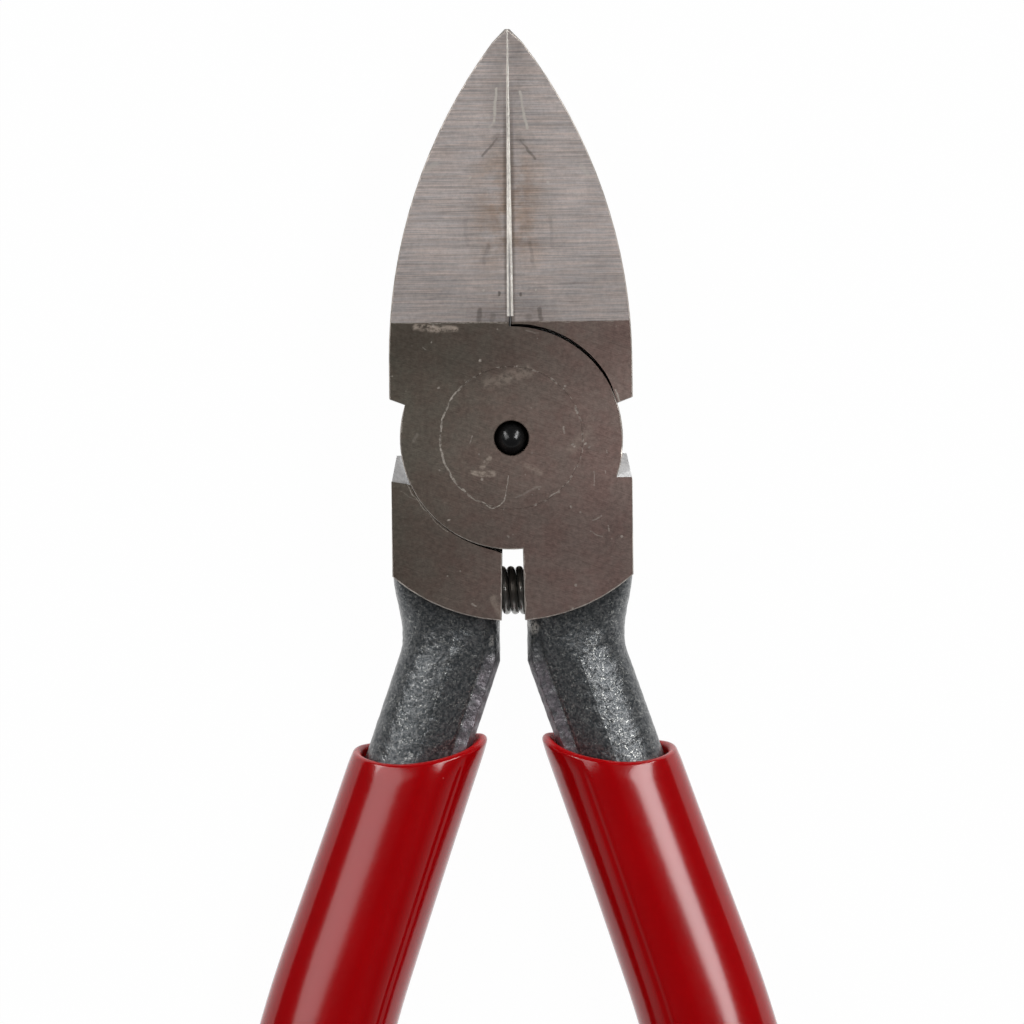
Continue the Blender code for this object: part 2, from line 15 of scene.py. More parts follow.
import bmesh
import bpy
import numpy as np
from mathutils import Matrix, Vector


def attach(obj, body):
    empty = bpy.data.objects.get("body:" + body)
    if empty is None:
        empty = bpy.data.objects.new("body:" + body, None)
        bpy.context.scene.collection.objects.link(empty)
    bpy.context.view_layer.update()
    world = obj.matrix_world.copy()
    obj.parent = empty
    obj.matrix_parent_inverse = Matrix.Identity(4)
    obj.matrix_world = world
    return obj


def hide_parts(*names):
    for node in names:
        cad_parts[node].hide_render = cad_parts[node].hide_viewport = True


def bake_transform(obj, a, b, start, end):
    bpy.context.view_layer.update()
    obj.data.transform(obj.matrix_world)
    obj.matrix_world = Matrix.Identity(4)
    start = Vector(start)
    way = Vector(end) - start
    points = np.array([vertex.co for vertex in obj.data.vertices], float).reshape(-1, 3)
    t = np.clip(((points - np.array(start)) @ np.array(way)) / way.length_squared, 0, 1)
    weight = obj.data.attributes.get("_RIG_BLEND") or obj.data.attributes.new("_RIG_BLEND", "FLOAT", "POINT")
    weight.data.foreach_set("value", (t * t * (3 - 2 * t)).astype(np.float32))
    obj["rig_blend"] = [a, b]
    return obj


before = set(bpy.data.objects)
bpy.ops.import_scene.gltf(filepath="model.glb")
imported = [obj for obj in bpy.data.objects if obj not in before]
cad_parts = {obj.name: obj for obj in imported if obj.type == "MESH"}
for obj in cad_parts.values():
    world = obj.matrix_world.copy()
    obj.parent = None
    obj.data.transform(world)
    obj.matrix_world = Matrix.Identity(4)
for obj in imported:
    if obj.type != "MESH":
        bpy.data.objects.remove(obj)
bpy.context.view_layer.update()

log = logging.getLogger("gate_cutter")

MM = 0.001
HEAD_THICKNESS = 10.0
MIDDLE_Z = HEAD_THICKNESS / 2
PIVOT_RADIUS = 5.94
WELD_DISTANCE = 1e-7
WHITE = (1.0, 1.0, 1.0, 1.0)

Colour = tuple[float, float, float]
Span = tuple[float, float]
Socket = bpy.types.NodeSocket
Feed: TypeAlias = "Wire | float | tuple[float, ...]"

# A drawn line is gone at its half-width and full at this share of it.
LINE_FADE: Span = (1.0, 0.3)


class Side(IntEnum):
    """Which way a handle leaves the head, as the sign of its X."""

    LEFT = -1
    RIGHT = 1


class Half(Enum):
    """The two bodies of the tool, by their names in the record."""

    FRONT = "front_half"
    REAR = "rear_half"


class Slot(Enum):
    """The record's material slots."""

    STEEL = "forged_steel"
    BLACK = "blackened_steel"
    VINYL = "red_vinyl"


def srgb(red: int, green: int, blue: int) -> Colour:
    """Turns screen levels from 0 to 255 into the linear colour that a shader takes, by the sRGB curve.

    Args:
        red: Level of red.
        green: Level of green.
        blue: Level of blue.

    Returns:
        The linear colour.
    """
    levels = np.array((red, green, blue)) / 255
    low = levels / 12.92
    high = ((levels + 0.055) / 1.055) ** 2.4
    return tuple(np.where(levels <= 0.04045, low, high).tolist())


def smooth(t: np.ndarray) -> np.ndarray:
    """Eases from 0 to 1 with a level start and end: 3 t^2 - 2 t^3 on t held to 0..1."""
    t = np.clip(t, 0, 1)
    return t * t * (3 - 2 * t)


def lerp(first: np.ndarray, second: np.ndarray, t: np.ndarray) -> np.ndarray:
    """The value a share t of the way from the first to the second."""
    return first + (second - first) * t


# Meshes


def add_object(name: str, data: bpy.types.ID) -> bpy.types.Object:
    """Makes an object and links it to the scene.

    Args:
        name: The object's name.
        data: Its mesh, lamp or camera.

    Returns:
        The new object.
    """
    made = bpy.data.objects.new(name, data)
    bpy.context.scene.collection.objects.link(made)
    return made


def finish_mesh(name: str, shell: bmesh.types.BMesh, sharp: float) -> bpy.types.Object:
    """Turns a welded shell into an object with outward faces, smooth but for its sharp edges.

    Args:
        name: The piece's name.
        shell: The faces, which are freed here.
        sharp: Edges that turn by more than this angle stay sharp, in degrees.

    Returns:
        The new object, linked to the scene.
    """
    bmesh.ops.recalc_face_normals(shell, faces=shell.faces)
    mesh = bpy.data.meshes.new(name)
    shell.to_mesh(mesh)
    shell.free()
    mesh.shade_smooth()
    mesh.set_sharp_from_angle(angle=math.radians(sharp))
    return add_object(name, mesh)


def skin(
    name: str, points: np.ndarray, sharp: float = 40.0, inside: np.ndarray | None = None,
) -> bpy.types.Object:
    """Skins a grid of points whose columns run round the piece and whose end rows are closed.

    Cell (i, j) joins rows i and i + 1 and columns j and j + 1, the last column to the first. A row
    that has shrunk to a point becomes a pole, and any other end row gets a flat cap.

    Args:
        name: The piece's name.
        points: Rows x columns x 3, in millimetres.
        sharp: Edges that turn by more than this angle stay sharp, in degrees.
        inside: Rows x columns of shares for the point attribute "inside", or none.

    Returns:
        The new object.
    """
    rows, columns = points.shape[:2]
    index = np.arange(rows * columns).reshape(rows, columns)
    beside = np.roll(index, -1, axis=1)
    cells = np.stack((index[:-1], beside[:-1], beside[1:], index[1:]), axis=-1).reshape(-1, 4)
    caps = [index[0].tolist(), index[-1].tolist()]
    mesh = bpy.data.meshes.new(name)
    mesh.from_pydata((points.reshape(-1, 3) * MM).tolist(), [], cells.tolist() + caps)
    if inside is not None:
        shares = mesh.attributes.new("inside", "FLOAT", "POINT")
        shares.data.foreach_set("value", inside.ravel().astype(np.float32))
    shell = bmesh.new()
    shell.from_mesh(mesh)
    bpy.data.meshes.remove(mesh)
    bmesh.ops.remove_doubles(shell, verts=shell.verts, dist=WELD_DISTANCE)
    return finish_mesh(name, shell, sharp)


def superellipse(angle: np.ndarray, squareness: float | np.ndarray) -> tuple[np.ndarray, np.ndarray]:
    """A rounded square of half-width 1: |cos a|^(2/n) and |sin a|^(2/n) with their signs.

    Args:
        angle: Angles round the section.
        squareness: The exponent n: 2 is a circle, more is squarer.

    Returns:
        Across and up, each as wide as the angles.
    """
    across = np.sign(np.cos(angle)) * np.abs(np.cos(angle)) ** (2 / squareness)
    up = np.sign(np.sin(angle)) * np.abs(np.sin(angle)) ** (2 / squareness)
    return across, up


def turned(name: str, profile: list[tuple[float, float]], steps: int) -> bpy.types.Object:
    """A profile of (radius, height) points carried round the pivot axis: (r cos a, r sin a, z).

    Args:
        name: The piece's name.
        profile: From one point on the axis to the other.
        steps: Columns in the full turn.

    Returns:
        The new object.
    """
    angle = np.linspace(0, 2 * np.pi, steps, endpoint=False)
    radius, height = np.array(profile).T
    x = radius[:, None] * np.cos(angle)
    y = radius[:, None] * np.sin(angle)
    z = np.broadcast_to(height[:, None], x.shape)
    return skin(name, np.stack((x, y, z), axis=-1), sharp=25)


# Node graphs


class Wire:
    """A number, vector or colour in a node graph, with the sums that the finishes use."""

    def __init__(self, graph: "Graph", socket: Socket) -> None:
        """Wraps an output of one of the graph's nodes."""
        self.graph = graph
        self.socket = socket

    def __add__(self, other: Feed) -> "Wire":
        """The sum of two numbers."""
        return self.graph.math("ADD", self, other)

    def __sub__(self, other: Feed) -> "Wire":
        """The difference of two numbers."""
        return self.graph.math("SUBTRACT", self, other)

    def __mul__(self, other: Feed) -> "Wire":
        """The product of two numbers."""
        return self.graph.math("MULTIPLY", self, other)

    def __truediv__(self, other: Feed) -> "Wire":
        """The quotient of two numbers."""
        return self.graph.math("DIVIDE", self, other)

    def __or__(self, other: Feed) -> "Wire":
        """The larger of two masks."""
        return self.graph.math("MAXIMUM", self, other)

    def __abs__(self) -> "Wire":
        """A number without its sign."""
        return self.graph.math("ABSOLUTE", self)

    def below(self, limit: Feed) -> "Wire":
        """1 below a limit, and 0 above it."""
        return self.graph.math("LESS_THAN", self, limit)

    def step(self, low: float, high: float) -> "Wire":
        """Eases from 0 at low to 1 at high. Low may be the larger."""
        inputs = {"Value": self, "From Min": low, "From Max": high}
        return self.graph.add("MapRange", inputs, "Result", interpolation_type="SMOOTHSTEP")

    def spread(self, low: float, high: float) -> "Wire":
        """Carries 0..1 to low..high in a straight line."""
        return self.graph.add("MapRange", {"Value": self, "To Min": low, "To Max": high}, "Result")

    def around(self, middle: float, swing: float) -> "Wire":
        """Carries 0..1 to as far below and above a middle value."""
        return self.spread(middle - swing, middle + swing)


class Graph:
    """A node tree under construction, with short calls for the nodes that the finishes use."""

    def __init__(self, tree: bpy.types.NodeTree) -> None:
        """Starts on an empty or new tree."""
        self.tree = tree

    def feed(self, socket: Socket, value: Feed) -> None:
        """Links a socket to a wire, or sets its own value.

        Args:
            socket: An input.
            value: The wire or the value.
        """
        if isinstance(value, Wire):
            self.tree.links.new(value.socket, socket)
        else:
            socket.default_value = value

    def node(
        self, kind: str, inputs: dict[str | int, Feed] | None = None, **settings: str | bpy.types.NodeTree,
    ) -> bpy.types.Node:
        """Adds a node.

        Args:
            kind: The node's type, without the common prefix for shader nodes.
            inputs: Feeds by input name or number.
            **settings: The node's own properties.

        Returns:
            The node.
        """
        made = self.tree.nodes.new("ShaderNode" + kind)
        for key, value in settings.items():
            setattr(made, key, value)
        for key, value in (inputs or {}).items():
            self.feed(made.inputs[key], value)
        return made

    def add(
        self, kind: str, inputs: dict[str | int, Feed] | None = None, output: str | int = 0,
        **settings: str | bpy.types.NodeTree,
    ) -> Wire:
        """Adds a node as above, and returns one of its outputs."""
        return Wire(self, self.node(kind, inputs, **settings).outputs[output])

    def math(self, operation: str, first: Feed, second: Feed = 0.0) -> Wire:
        """One sum on one or two numbers."""
        return self.add("Math", {0: first, 1: second}, operation=operation)

    def vector(self, operation: str, first: Feed, second: Feed = (0, 0, 0), output: str | int = 0) -> Wire:
        """One sum on one or two vectors."""
        return self.add("VectorMath", {0: first, 1: second}, output, operation=operation)

    def dot(self, first: Feed, second: Feed) -> Wire:
        """The dot product of two vectors."""
        return self.vector("DOT_PRODUCT", first, second, "Value")

    def shade(self, colour: Feed, level: Feed) -> Wire:
        """A colour or vector times a level that may go over 1."""
        return self.add("VectorMath", {0: colour, "Scale": level}, operation="SCALE")

    def mix(self, share: Feed, first: Feed, second: Feed, blend: str = "MIX") -> Wire:
        """Mixes two colours.

        Args:
            share: How much of the second is taken.
            first: A colour.
            second: Another colour.
            blend: The node's way to mix.

        Returns:
            The mixed colour.
        """
        made = self.node("Mix", {"Factor": share}, data_type="RGBA", blend_type=blend)
        colours = [socket for socket in made.inputs if socket.type == "RGBA"]
        for socket, value in zip(colours, (first, second)):
            self.feed(socket, (*value, 1.0) if isinstance(value, tuple) else value)
        return Wire(self, next(socket for socket in made.outputs if socket.type == "RGBA"))

    def parts(self, vector: Wire) -> tuple[Wire, Wire, Wire]:
        """The X, Y and Z of a vector."""
        split = self.node("SeparateXYZ", {0: vector})
        return tuple(Wire(self, socket) for socket in split.outputs)

    def join(self, x: Feed, y: Feed, z: Feed = 0.0) -> Wire:
        """A vector from its X, Y and Z."""
        return self.add("CombineXYZ", {0: x, 1: y, 2: z})

    def group(self, made: bpy.types.NodeTree, **inputs: Feed) -> Wire:
        """Places a shared group, with its inputs by name, and returns its one output."""
        return self.add("Group", {key.title(): value for key, value in inputs.items()}, node_tree=made)


@dataclass(frozen=True)
class Noise:
    """Cloudy noise from 0 to 1, mostly near its middle.

    Where it has edges it is eased from 0 to 1 between them, and then carried to its levels.
    """

    scale: float
    detail: float = 2.0
    roughness: float = 0.5
    edges: Span | None = None
    levels: Span | None = None

    def at(self, point: Wire, output: str = "Fac") -> Wire:
        """Lays the noise over points.

        Args:
            point: The point.
            output: The node's output, which is a number or a colour.

        Returns:
            The noise.
        """
        inputs = {"Vector": point, "Scale": self.scale, "Detail": self.detail, "Roughness": self.roughness}
        raw = point.graph.add("TexNoise", inputs, output)
        eased = raw.step(*self.edges) if self.edges else raw
        return eased.spread(*self.levels) if self.levels else eased


class SharedEffects:
    """The node groups that more than one finish uses, each built once."""

    LINE_STRETCH = (0.022, 1.0, 0.3)
    COARSE_LINES = Noise(0.42, 3.0, 0.6)
    FINE_LINES = Noise(1.2, 2.0, 0.6)
    COARSE_SHARE = 0.45
    LINE_EDGES = (0.30, 0.70)

    def __init__(self) -> None:
        """Builds the groups."""
        self.lines = self.grinding_lines()
        self.specks = self.bright_specks()
        self.nick = self.single_nick()

    @staticmethod
    def start(name: str, floats: list[str], vectors: list[str]) -> tuple[Graph, dict[str, Wire], Socket]:
        """Starts a group with named inputs and one output that holds a mask or a value.

        Args:
            name: The group's name.
            floats: Names of the inputs that are numbers.
            vectors: Names of the inputs that are vectors.

        Returns:
            The graph, the inputs by name, and the output to feed.
        """
        tree = bpy.data.node_groups.new(name, "ShaderNodeTree")
        for labels, kind in ((vectors, "NodeSocketVector"), (floats, "NodeSocketFloat")):
            for label in labels:
                tree.interface.new_socket(label, in_out="INPUT", socket_type=kind)
        tree.interface.new_socket("Value", in_out="OUTPUT", socket_type="NodeSocketFloat")
        graph = Graph(tree)
        given = {s.name: Wire(graph, s) for s in tree.nodes.new("NodeGroupInput").outputs if s.name}
        return graph, given, tree.nodes.new("NodeGroupOutput").inputs["Value"]

    def grinding_lines(self) -> bpy.types.NodeTree:
        """Parallel lines of a grinding wheel: two noises, stretched along X after a turn about Z.

        Returns:
            The group.
        """
        graph, given, leave = self.start("grinding_lines", ["Turn", "Spacing"], ["Point"])
        inputs = {"Vector": given["Point"], "Angle": given["Turn"]}
        turned_point = graph.add("VectorRotate", inputs, rotation_type="Z_AXIS")
        stretched = graph.vector("MULTIPLY", turned_point, self.LINE_STRETCH)
        cell = graph.shade(stretched, graph.math("DIVIDE", 1.0, given["Spacing"]))
        coarse, fine = self.COARSE_LINES.at(cell), self.FINE_LINES.at(cell)
        both = coarse * self.COARSE_SHARE + fine * (1 - self.COARSE_SHARE)
        graph.feed(leave, both.step(*self.LINE_EDGES))
        return graph.tree

    def bright_specks(self) -> bpy.types.NodeTree:
        """Scattered small spots: the middles of some of the cells of a Voronoi pattern.

        Returns:
            The group.
        """
        graph, given, leave = self.start("bright_specks", ["Spacing", "Share", "Size"], ["Point"])
        scale = graph.math("DIVIDE", 1.0, given["Spacing"])
        cells = graph.node("TexVoronoi", {"Vector": given["Point"], "Scale": scale})
        luck = graph.parts(Wire(graph, cells.outputs["Color"]))[0]
        near = Wire(graph, cells.outputs["Distance"]).below(given["Size"])
        graph.feed(leave, luck.below(given["Share"]) * near)
        return graph.tree

    def single_nick(self) -> bpy.types.NodeTree:
        """A short scratch: 1 near the segment from Start to End, fading over Width.

        Returns:
            The group.
        """
        graph, given, leave = self.start("single_nick", ["Width"], ["Point", "Start", "End"])
        reach = graph.vector("SUBTRACT", given["End"], given["Start"])
        gone = graph.vector("SUBTRACT", given["Point"], given["Start"])
        share = graph.add("Clamp", {"Value": graph.dot(gone, reach) / graph.dot(reach, reach)})
        apart = graph.vector("DISTANCE", gone, graph.shade(reach, share), "Value")
        graph.feed(leave, (apart / given["Width"]).step(*LINE_FADE))
        return graph.tree


# Finishes


@dataclass(frozen=True)
class Specks:
    """Scattered spots: their spacing, the share of places that have one, their size and their level."""

    spacing: float
    share: float
    size: float
    level: float = 1.0


@dataclass(frozen=True)
class Nick:
    """A scratch, rub or painted highlight line on the front face, from one point to another in X and Y."""

    start: Span
    end: Span
    width: float
    strength: float


def nick_rows(*rows: tuple[float, ...]) -> tuple[Nick, ...]:
    """Scratches from rows of the start's X and Y, the end's X and Y, the width and the strength."""
    return tuple(Nick(row[:2], row[2:4], *row[4:]) for row in rows)


class Canvas(Graph):
    """The graph of one material, with its shader, the shared groups and the point in millimetres."""

    NICK_WANDER = Noise(0.9, 3.0)
    NICK_SWAY = 0.5
    WANDER_MIDDLE = (0.5, 0.5, 0.5)

    def __init__(self, name: str, effects: SharedEffects) -> None:
        """Starts a material with a Principled shader.

        Args:
            name: The material's name.
            effects: The shared groups.
        """
        self.material = bpy.data.materials.new(name)
        self.material.use_nodes = True
        super().__init__(self.material.node_tree)
        self.shader = self.tree.nodes["Principled BSDF"]
        self.effects = effects
        self.point = self.shade(self.add("TexCoord", output="Object"), 1 / MM)

    def surface(self, inputs: dict[str, Feed]) -> None:
        """Feeds the shader's inputs by name."""
        for name, value in inputs.items():
            self.feed(self.shader.inputs[name], value)

    def relief(self, height: Wire, depth: float) -> None:
        """Feeds the shader's normal from a height of 0..1 that is so many millimetres deep."""
        inputs = {"Strength": 1.0, "Distance": depth * MM, "Height": height}
        self.surface({"Normal": self.add("Bump", inputs, "Normal")})

    def noise(self, pattern: Noise) -> Wire:
        """A noise at the point."""
        return pattern.at(self.point)

    def specks(self, pattern: Specks) -> Wire:
        """A mask of scattered spots."""
        sizes = {"spacing": pattern.spacing, "share": pattern.share, "size": pattern.size}
        return self.group(self.effects.specks, point=self.point, **sizes) * pattern.level

    def scratch(self, nick: Nick, point: Wire) -> Wire:
        """As much as a scratch's strength on it, and 0 off it."""
        ends = {"start": (*nick.start, HEAD_THICKNESS), "end": (*nick.end, HEAD_THICKNESS)}
        return self.group(self.effects.nick, point=point, width=nick.width, **ends) * nick.strength

    def scratches(self, nicks: tuple[Nick, ...]) -> Wire:
        """The strongest of several scratches at each point of the front half, swayed a little by noise.

        Args:
            nicks: The scratches.

        Returns:
            A mask from 0 to 1.
        """
        wander = self.vector("SUBTRACT", self.NICK_WANDER.at(self.point, "Color"), self.WANDER_MIDDLE)
        x, y, _ = self.parts(self.vector("ADD", self.point, self.shade(wander, self.NICK_SWAY)))
        flat = self.join(x, y, HEAD_THICKNESS)
        strongest = reduce(or_, (self.scratch(nick, flat) for nick in nicks))
        return strongest * self.parts(self.point)[2].step(MIDDLE_Z, MIDDLE_Z + 1)


@dataclass(frozen=True)
class Zone:
    """A soft-edged zone along both cutting edges, by the distance from them and by the height."""

    columns: Span
    rows: Span
    level: float = 1.0

    def mask(self, canvas: Canvas) -> Wire:
        """As much as its level inside the zone, and 0 outside it."""
        x, y, _ = canvas.parts(canvas.point)
        return abs(x).step(*self.columns) * y.step(*self.rows) * self.level


@dataclass(frozen=True)
class Finish:
    """A finish with a name, which each kind paints in its own way."""

    name: str

    def paint(self, canvas: Canvas) -> None:
        """Feeds the shader of a new material."""
        raise NotImplementedError

    def material(self, effects: SharedEffects) -> bpy.types.Material:
        """Builds the finish.

        Args:
            effects: The shared groups.

        Returns:
            The material.
        """
        canvas = Canvas(self.name, effects)
        self.paint(canvas)
        return canvas.material


@dataclass(frozen=True)
class GroundSteel(Finish):
    """Steel off a grinding wheel: a colour, with darker and lighter lines, and fine relief."""

    colour: Colour
    line_turn: float = 0.0
    line_spacing: float = 0.12
    line_contrast: float = 0.25
    roughness: float = 0.42
    line_gloss: float = 0.06
    relief: float = 0.004
    metallic: float = 1.0
    clouds: Noise = Noise(0.35, 3.0, levels=(0.8, 1.2))
    spots: Noise = Noise(2.6, 5.0, 0.8, (0.28, 0.72))
    mottle: float = 0.0

    def base(self, canvas: Canvas) -> Feed:
        """The colour under the lines."""
        return self.colour

    def marks(self, canvas: Canvas, colour: Wire) -> Wire:
        """Adds what one surface alone shows. Plain ground steel shows nothing more."""
        return colour

    def paint(self, canvas: Canvas) -> None:
        """Darkens and lightens the colour by lines, clouds and spots, then adds the marks.

        Args:
            canvas: The material's graph.
        """
        turn = math.radians(self.line_turn)
        lines = canvas.group(canvas.effects.lines, point=canvas.point, turn=turn, spacing=self.line_spacing)
        spots = canvas.noise(self.spots).around(1.0, self.mottle)
        level = lines.around(1.0, self.line_contrast) * canvas.noise(self.clouds) * spots
        canvas.surface({
            "Base Color": self.marks(canvas, canvas.shade(self.base(canvas), level)),
            "Roughness": lines.around(self.roughness, -self.line_gloss),
            "Metallic": self.metallic,
        })
        canvas.relief(lines, self.relief)


@dataclass(frozen=True)
class HeadFace(GroundSteel):
    """The brown-grey faces round the pivot, with a painted highlight round the rivet, painted edge
    highlights, nicks and rubbed spots.

    The finish's own colour is the one on the left.
    """

    right_colour: Colour = srgb(151, 132, 125)
    colour_slant: float = 0.35
    colour_reach: Span = (-13.0, 13.0)
    tint: Noise = Noise(0.55, 5.0, 0.65, (0.36, 0.66), (0.0, 0.6))
    tint_colour: Colour = (0.95, 0.80, 0.80)
    end_rows: Span = (1.5, 8.5)
    end_shade: float = 0.76
    # Painted light: the jaw beyond the disc is lifted brighter.
    jaw_columns: Span = (0.0, 1.0)
    jaw_rows: Span = (3.0, 3.4)
    jaw_radii: Span = (9.30, 9.34)
    jaw_painted_light: float = 1.10
    # Painted highlight along the rivet's rim, clearest on the left side.
    ring_wander: Noise = Noise(0.9, 1.0, levels=(-0.12, 0.12))
    ring_width: Noise = Noise(3.4, 3.0, levels=(-0.02, 0.23))
    ring_side: tuple[float, float, float] = (-0.165, -0.02, 0.0)
    ring_clear: Span = (0.35, 0.85)
    ring_patches: Noise = Noise(1.7, 4.0, 0.7, (0.36, 0.60))
    ring_breaks: Noise = Noise(2.6, 3.0, edges=(0.52, 0.64), levels=(0.0, 0.55))
    rub_colour: Colour = srgb(192, 177, 164)
    rub_edge: Noise = Noise(2.2, 4.0, 0.7, (0.36, 0.60))
    fine_specks: Specks = Specks(0.55, 0.11, 0.14)
    fine_patches: Noise = Noise(0.30, edges=(0.44, 0.62), levels=(0.06, 0.38))
    large_specks: Specks = Specks(1.3, 0.10, 0.09, 0.5)
    # One bright colour for the nicks and the painted highlights.
    nick_and_highlight_colour: Colour = srgb(205, 196, 186)
    nick_wear: Noise = Noise(5.0, edges=(0.34, 0.56), levels=(0.35, 1.0))
    nicks: tuple[Nick, ...] = nick_rows(
        (-2.55, -5.3, -1.68, -5.82, 0.06, 0.8), (-1.68, -5.82, -1.15, -5.65, 0.06, 0.8),
        (-1.15, -5.65, -0.62, -5.21, 0.06, 0.8), (-0.62, -5.21, -0.38, -4.24, 0.06, 0.8),
        (-0.38, -4.24, -0.3, -3.2, 0.05, 0.8), (-3.55, -0.4, -3.2, 0.32, 0.08, 0.6),
        (6.9, -2.84, 6.9, -4.05, 0.06, 0.6), (3.06, -4.95, 3.86, -4.6, 0.07, 0.6),
        (0.26, -4.95, 2.37, -4.07, 0.12, 0.25), (-2.5, 6.48, -2.46, 6.54, 0.16, 0.9),
        (-6.6, 8.0, -6.57, 8.02, 0.09, 0.6), (-6.05, 4.2, -6.0, 4.25, 0.11, 0.7),
        (4.5, 4.2, 4.53, 4.22, 0.11, 0.7), (6.14, -0.58, 6.2, -0.55, 0.12, 0.8),
        (5.88, 0.3, 5.92, 0.34, 0.09, 0.7), (5.2, -0.75, 5.25, -0.7, 0.1, 0.6),
        (7.93, -1.0, 7.93, -1.3, 0.07, 0.6), (4.9, -5.85, 4.94, -5.75, 0.1, 0.6),
        (6.68, -6.9, 7.4, -6.6, 0.07, 0.45), (6.5, -7.9, 7.5, -8.3, 0.07, 0.35),
        (-9.35, -4.3, -8.05, -5.05, 0.05, 0.2), (5.4, 2.45, 5.55, 2.05, 0.1, 0.7),
        (5.72, 1.75, 5.8, 1.45, 0.08, 0.5), (4.38, 0.85, 4.42, 0.3, 0.1, 0.5),
        (5.05, -0.55, 5.1, -0.52, 0.12, 0.6), (6.45, -0.9, 6.5, -0.86, 0.1, 0.5),
        (7.85, -2.8, 7.85, -3.0, 0.07, 0.5), (5.65, -6.2, 5.7, -6.18, 0.09, 0.5),
        (7.95, -7.3, 8.1, -7.8, 0.07, 0.5), (-5.35, -6.85, -5.25, -6.85, 0.1, 0.7),
        (-0.35, -8.2, -0.3, -8.15, 0.1, 0.5), (-3.4, -13.8, -3.15, -13.95, 0.12, 0.6),
        (4.9, -14.2, 5.0, -14.2, 0.1, 0.6), (-7.3, 7.6, -7.1, 7.4, 0.07, 0.3),
        (-8.2, -0.2, -7.9, 0.3, 0.2, 0.2), (1.3, 9.0, 2.4, 8.75, 0.07, 0.3),
        # The last two rows are painted highlights along the disc's right and left edges.
        (9.08, 2.6, 9.22, 0.3, 0.12, 0.9), (-9.06, 2.3, -9.2, 0.6, 0.1, 0.5),
    )
    rubs: tuple[Nick, ...] = nick_rows(
        (-3.2, -2.85, -1.5, -3.05, 0.32, 0.9), (-2.5, -2.4, -1.8, -1.65, 0.3, 0.8),
        (1.3, -2.2, 2.3, -3.0, 0.45, 0.35), (-1.8, 4.6, 1.4, 5.5, 0.75, 0.35),
        (-7.85, 9.3, -4.6, 9.1, 0.4, 0.9), (5.0, -1.0, 6.4, 0.7, 0.6, 0.3),
        (-1.6, -13.4, -0.95, -14.8, 0.45, 0.45),
    )
    # Painted highlights, partly bright wear, along the gaps round the disc, the slot's sides and the line
    # where the head meets the blades.
    edge_highlights: tuple[Nick, ...] = nick_rows(
        (-9.0, -2.95, -8.2, -4.7, 0.06, 0.6), (-8.2, -4.7, -6.95, -6.4, 0.06, 0.5),
        (-6.95, -6.4, -5.4, -7.75, 0.05, 0.35), (8.7, 4.0, 9.1, 2.9, 0.09, 0.8),
        (-0.9, -10.0, -0.95, -14.9, 0.06, 0.8), (0.93, -9.4, 1.02, -14.9, 0.06, 0.6),
        (-9.8, 9.64, -0.3, 9.66, 0.08, 0.5), (2.5, 9.66, 9.8, 9.72, 0.08, 0.4),
    )

    def base(self, canvas: Canvas) -> Feed:
        """Darker and greener at the upper left, browner at the right, lightest round the pivot, with painted
        light on the jaw.

        Args:
            canvas: The material's graph.

        Returns:
            The colour.
        """
        x, y, _ = canvas.parts(canvas.point)
        rightward = (x - y * self.colour_slant).step(*self.colour_reach)
        colour = canvas.mix(rightward, self.colour, self.right_colour)
        colour = canvas.mix(canvas.noise(self.tint), colour, self.tint_colour, "MULTIPLY")
        level = abs(y).step(*self.end_rows).spread(1.0, self.end_shade)
        # Painted light on the jaw beyond the disc.
        jaw = x.step(*self.jaw_columns) * y.step(*self.jaw_rows) * self.radius(canvas).step(*self.jaw_radii)
        return canvas.shade(colour, level * jaw.spread(1.0, self.jaw_painted_light))

    @staticmethod
    def radius(canvas: Canvas) -> Wire:
        """The distance from the pivot axis."""
        x, y, _ = canvas.parts(canvas.point)
        return canvas.vector("LENGTH", canvas.join(x, y), output="Value")

    def rivet_rim_highlight(self, canvas: Canvas) -> Wire:
        """A painted highlight along the rivet's rim: a clear line on the left, and broken on the right.

        Args:
            canvas: The material's graph.

        Returns:
            A mask from 0 to 1.
        """
        off = abs(self.radius(canvas) - canvas.noise(self.ring_wander) - PIVOT_RADIUS)
        line = (off / canvas.noise(self.ring_width)).step(*LINE_FADE)
        leftward = canvas.dot(canvas.point, self.ring_side).step(*self.ring_clear)
        return line * (leftward * canvas.noise(self.ring_patches) | canvas.noise(self.ring_breaks))

    def marks(self, canvas: Canvas, colour: Wire) -> Wire:
        """Adds the painted highlights round the rivet and along the edges, the rubbed spots, the specks and
        the nicks.

        Args:
            canvas: The material's graph.
            colour: The colour so far.

        Returns:
            The colour with the marks.
        """
        rubbed = canvas.scratches(self.rubs) * canvas.noise(self.rub_edge)
        colour = canvas.mix(rubbed, colour, self.rub_colour)
        light = canvas.specks(self.fine_specks) * canvas.noise(self.fine_patches)
        light = light | canvas.specks(self.large_specks) | self.rivet_rim_highlight(canvas)
        scratched_and_highlit = canvas.scratches(self.nicks) | canvas.scratches(self.edge_highlights)
        return canvas.mix(light | scratched_and_highlit * canvas.noise(self.nick_wear), colour, self.nick_and_highlight_colour)


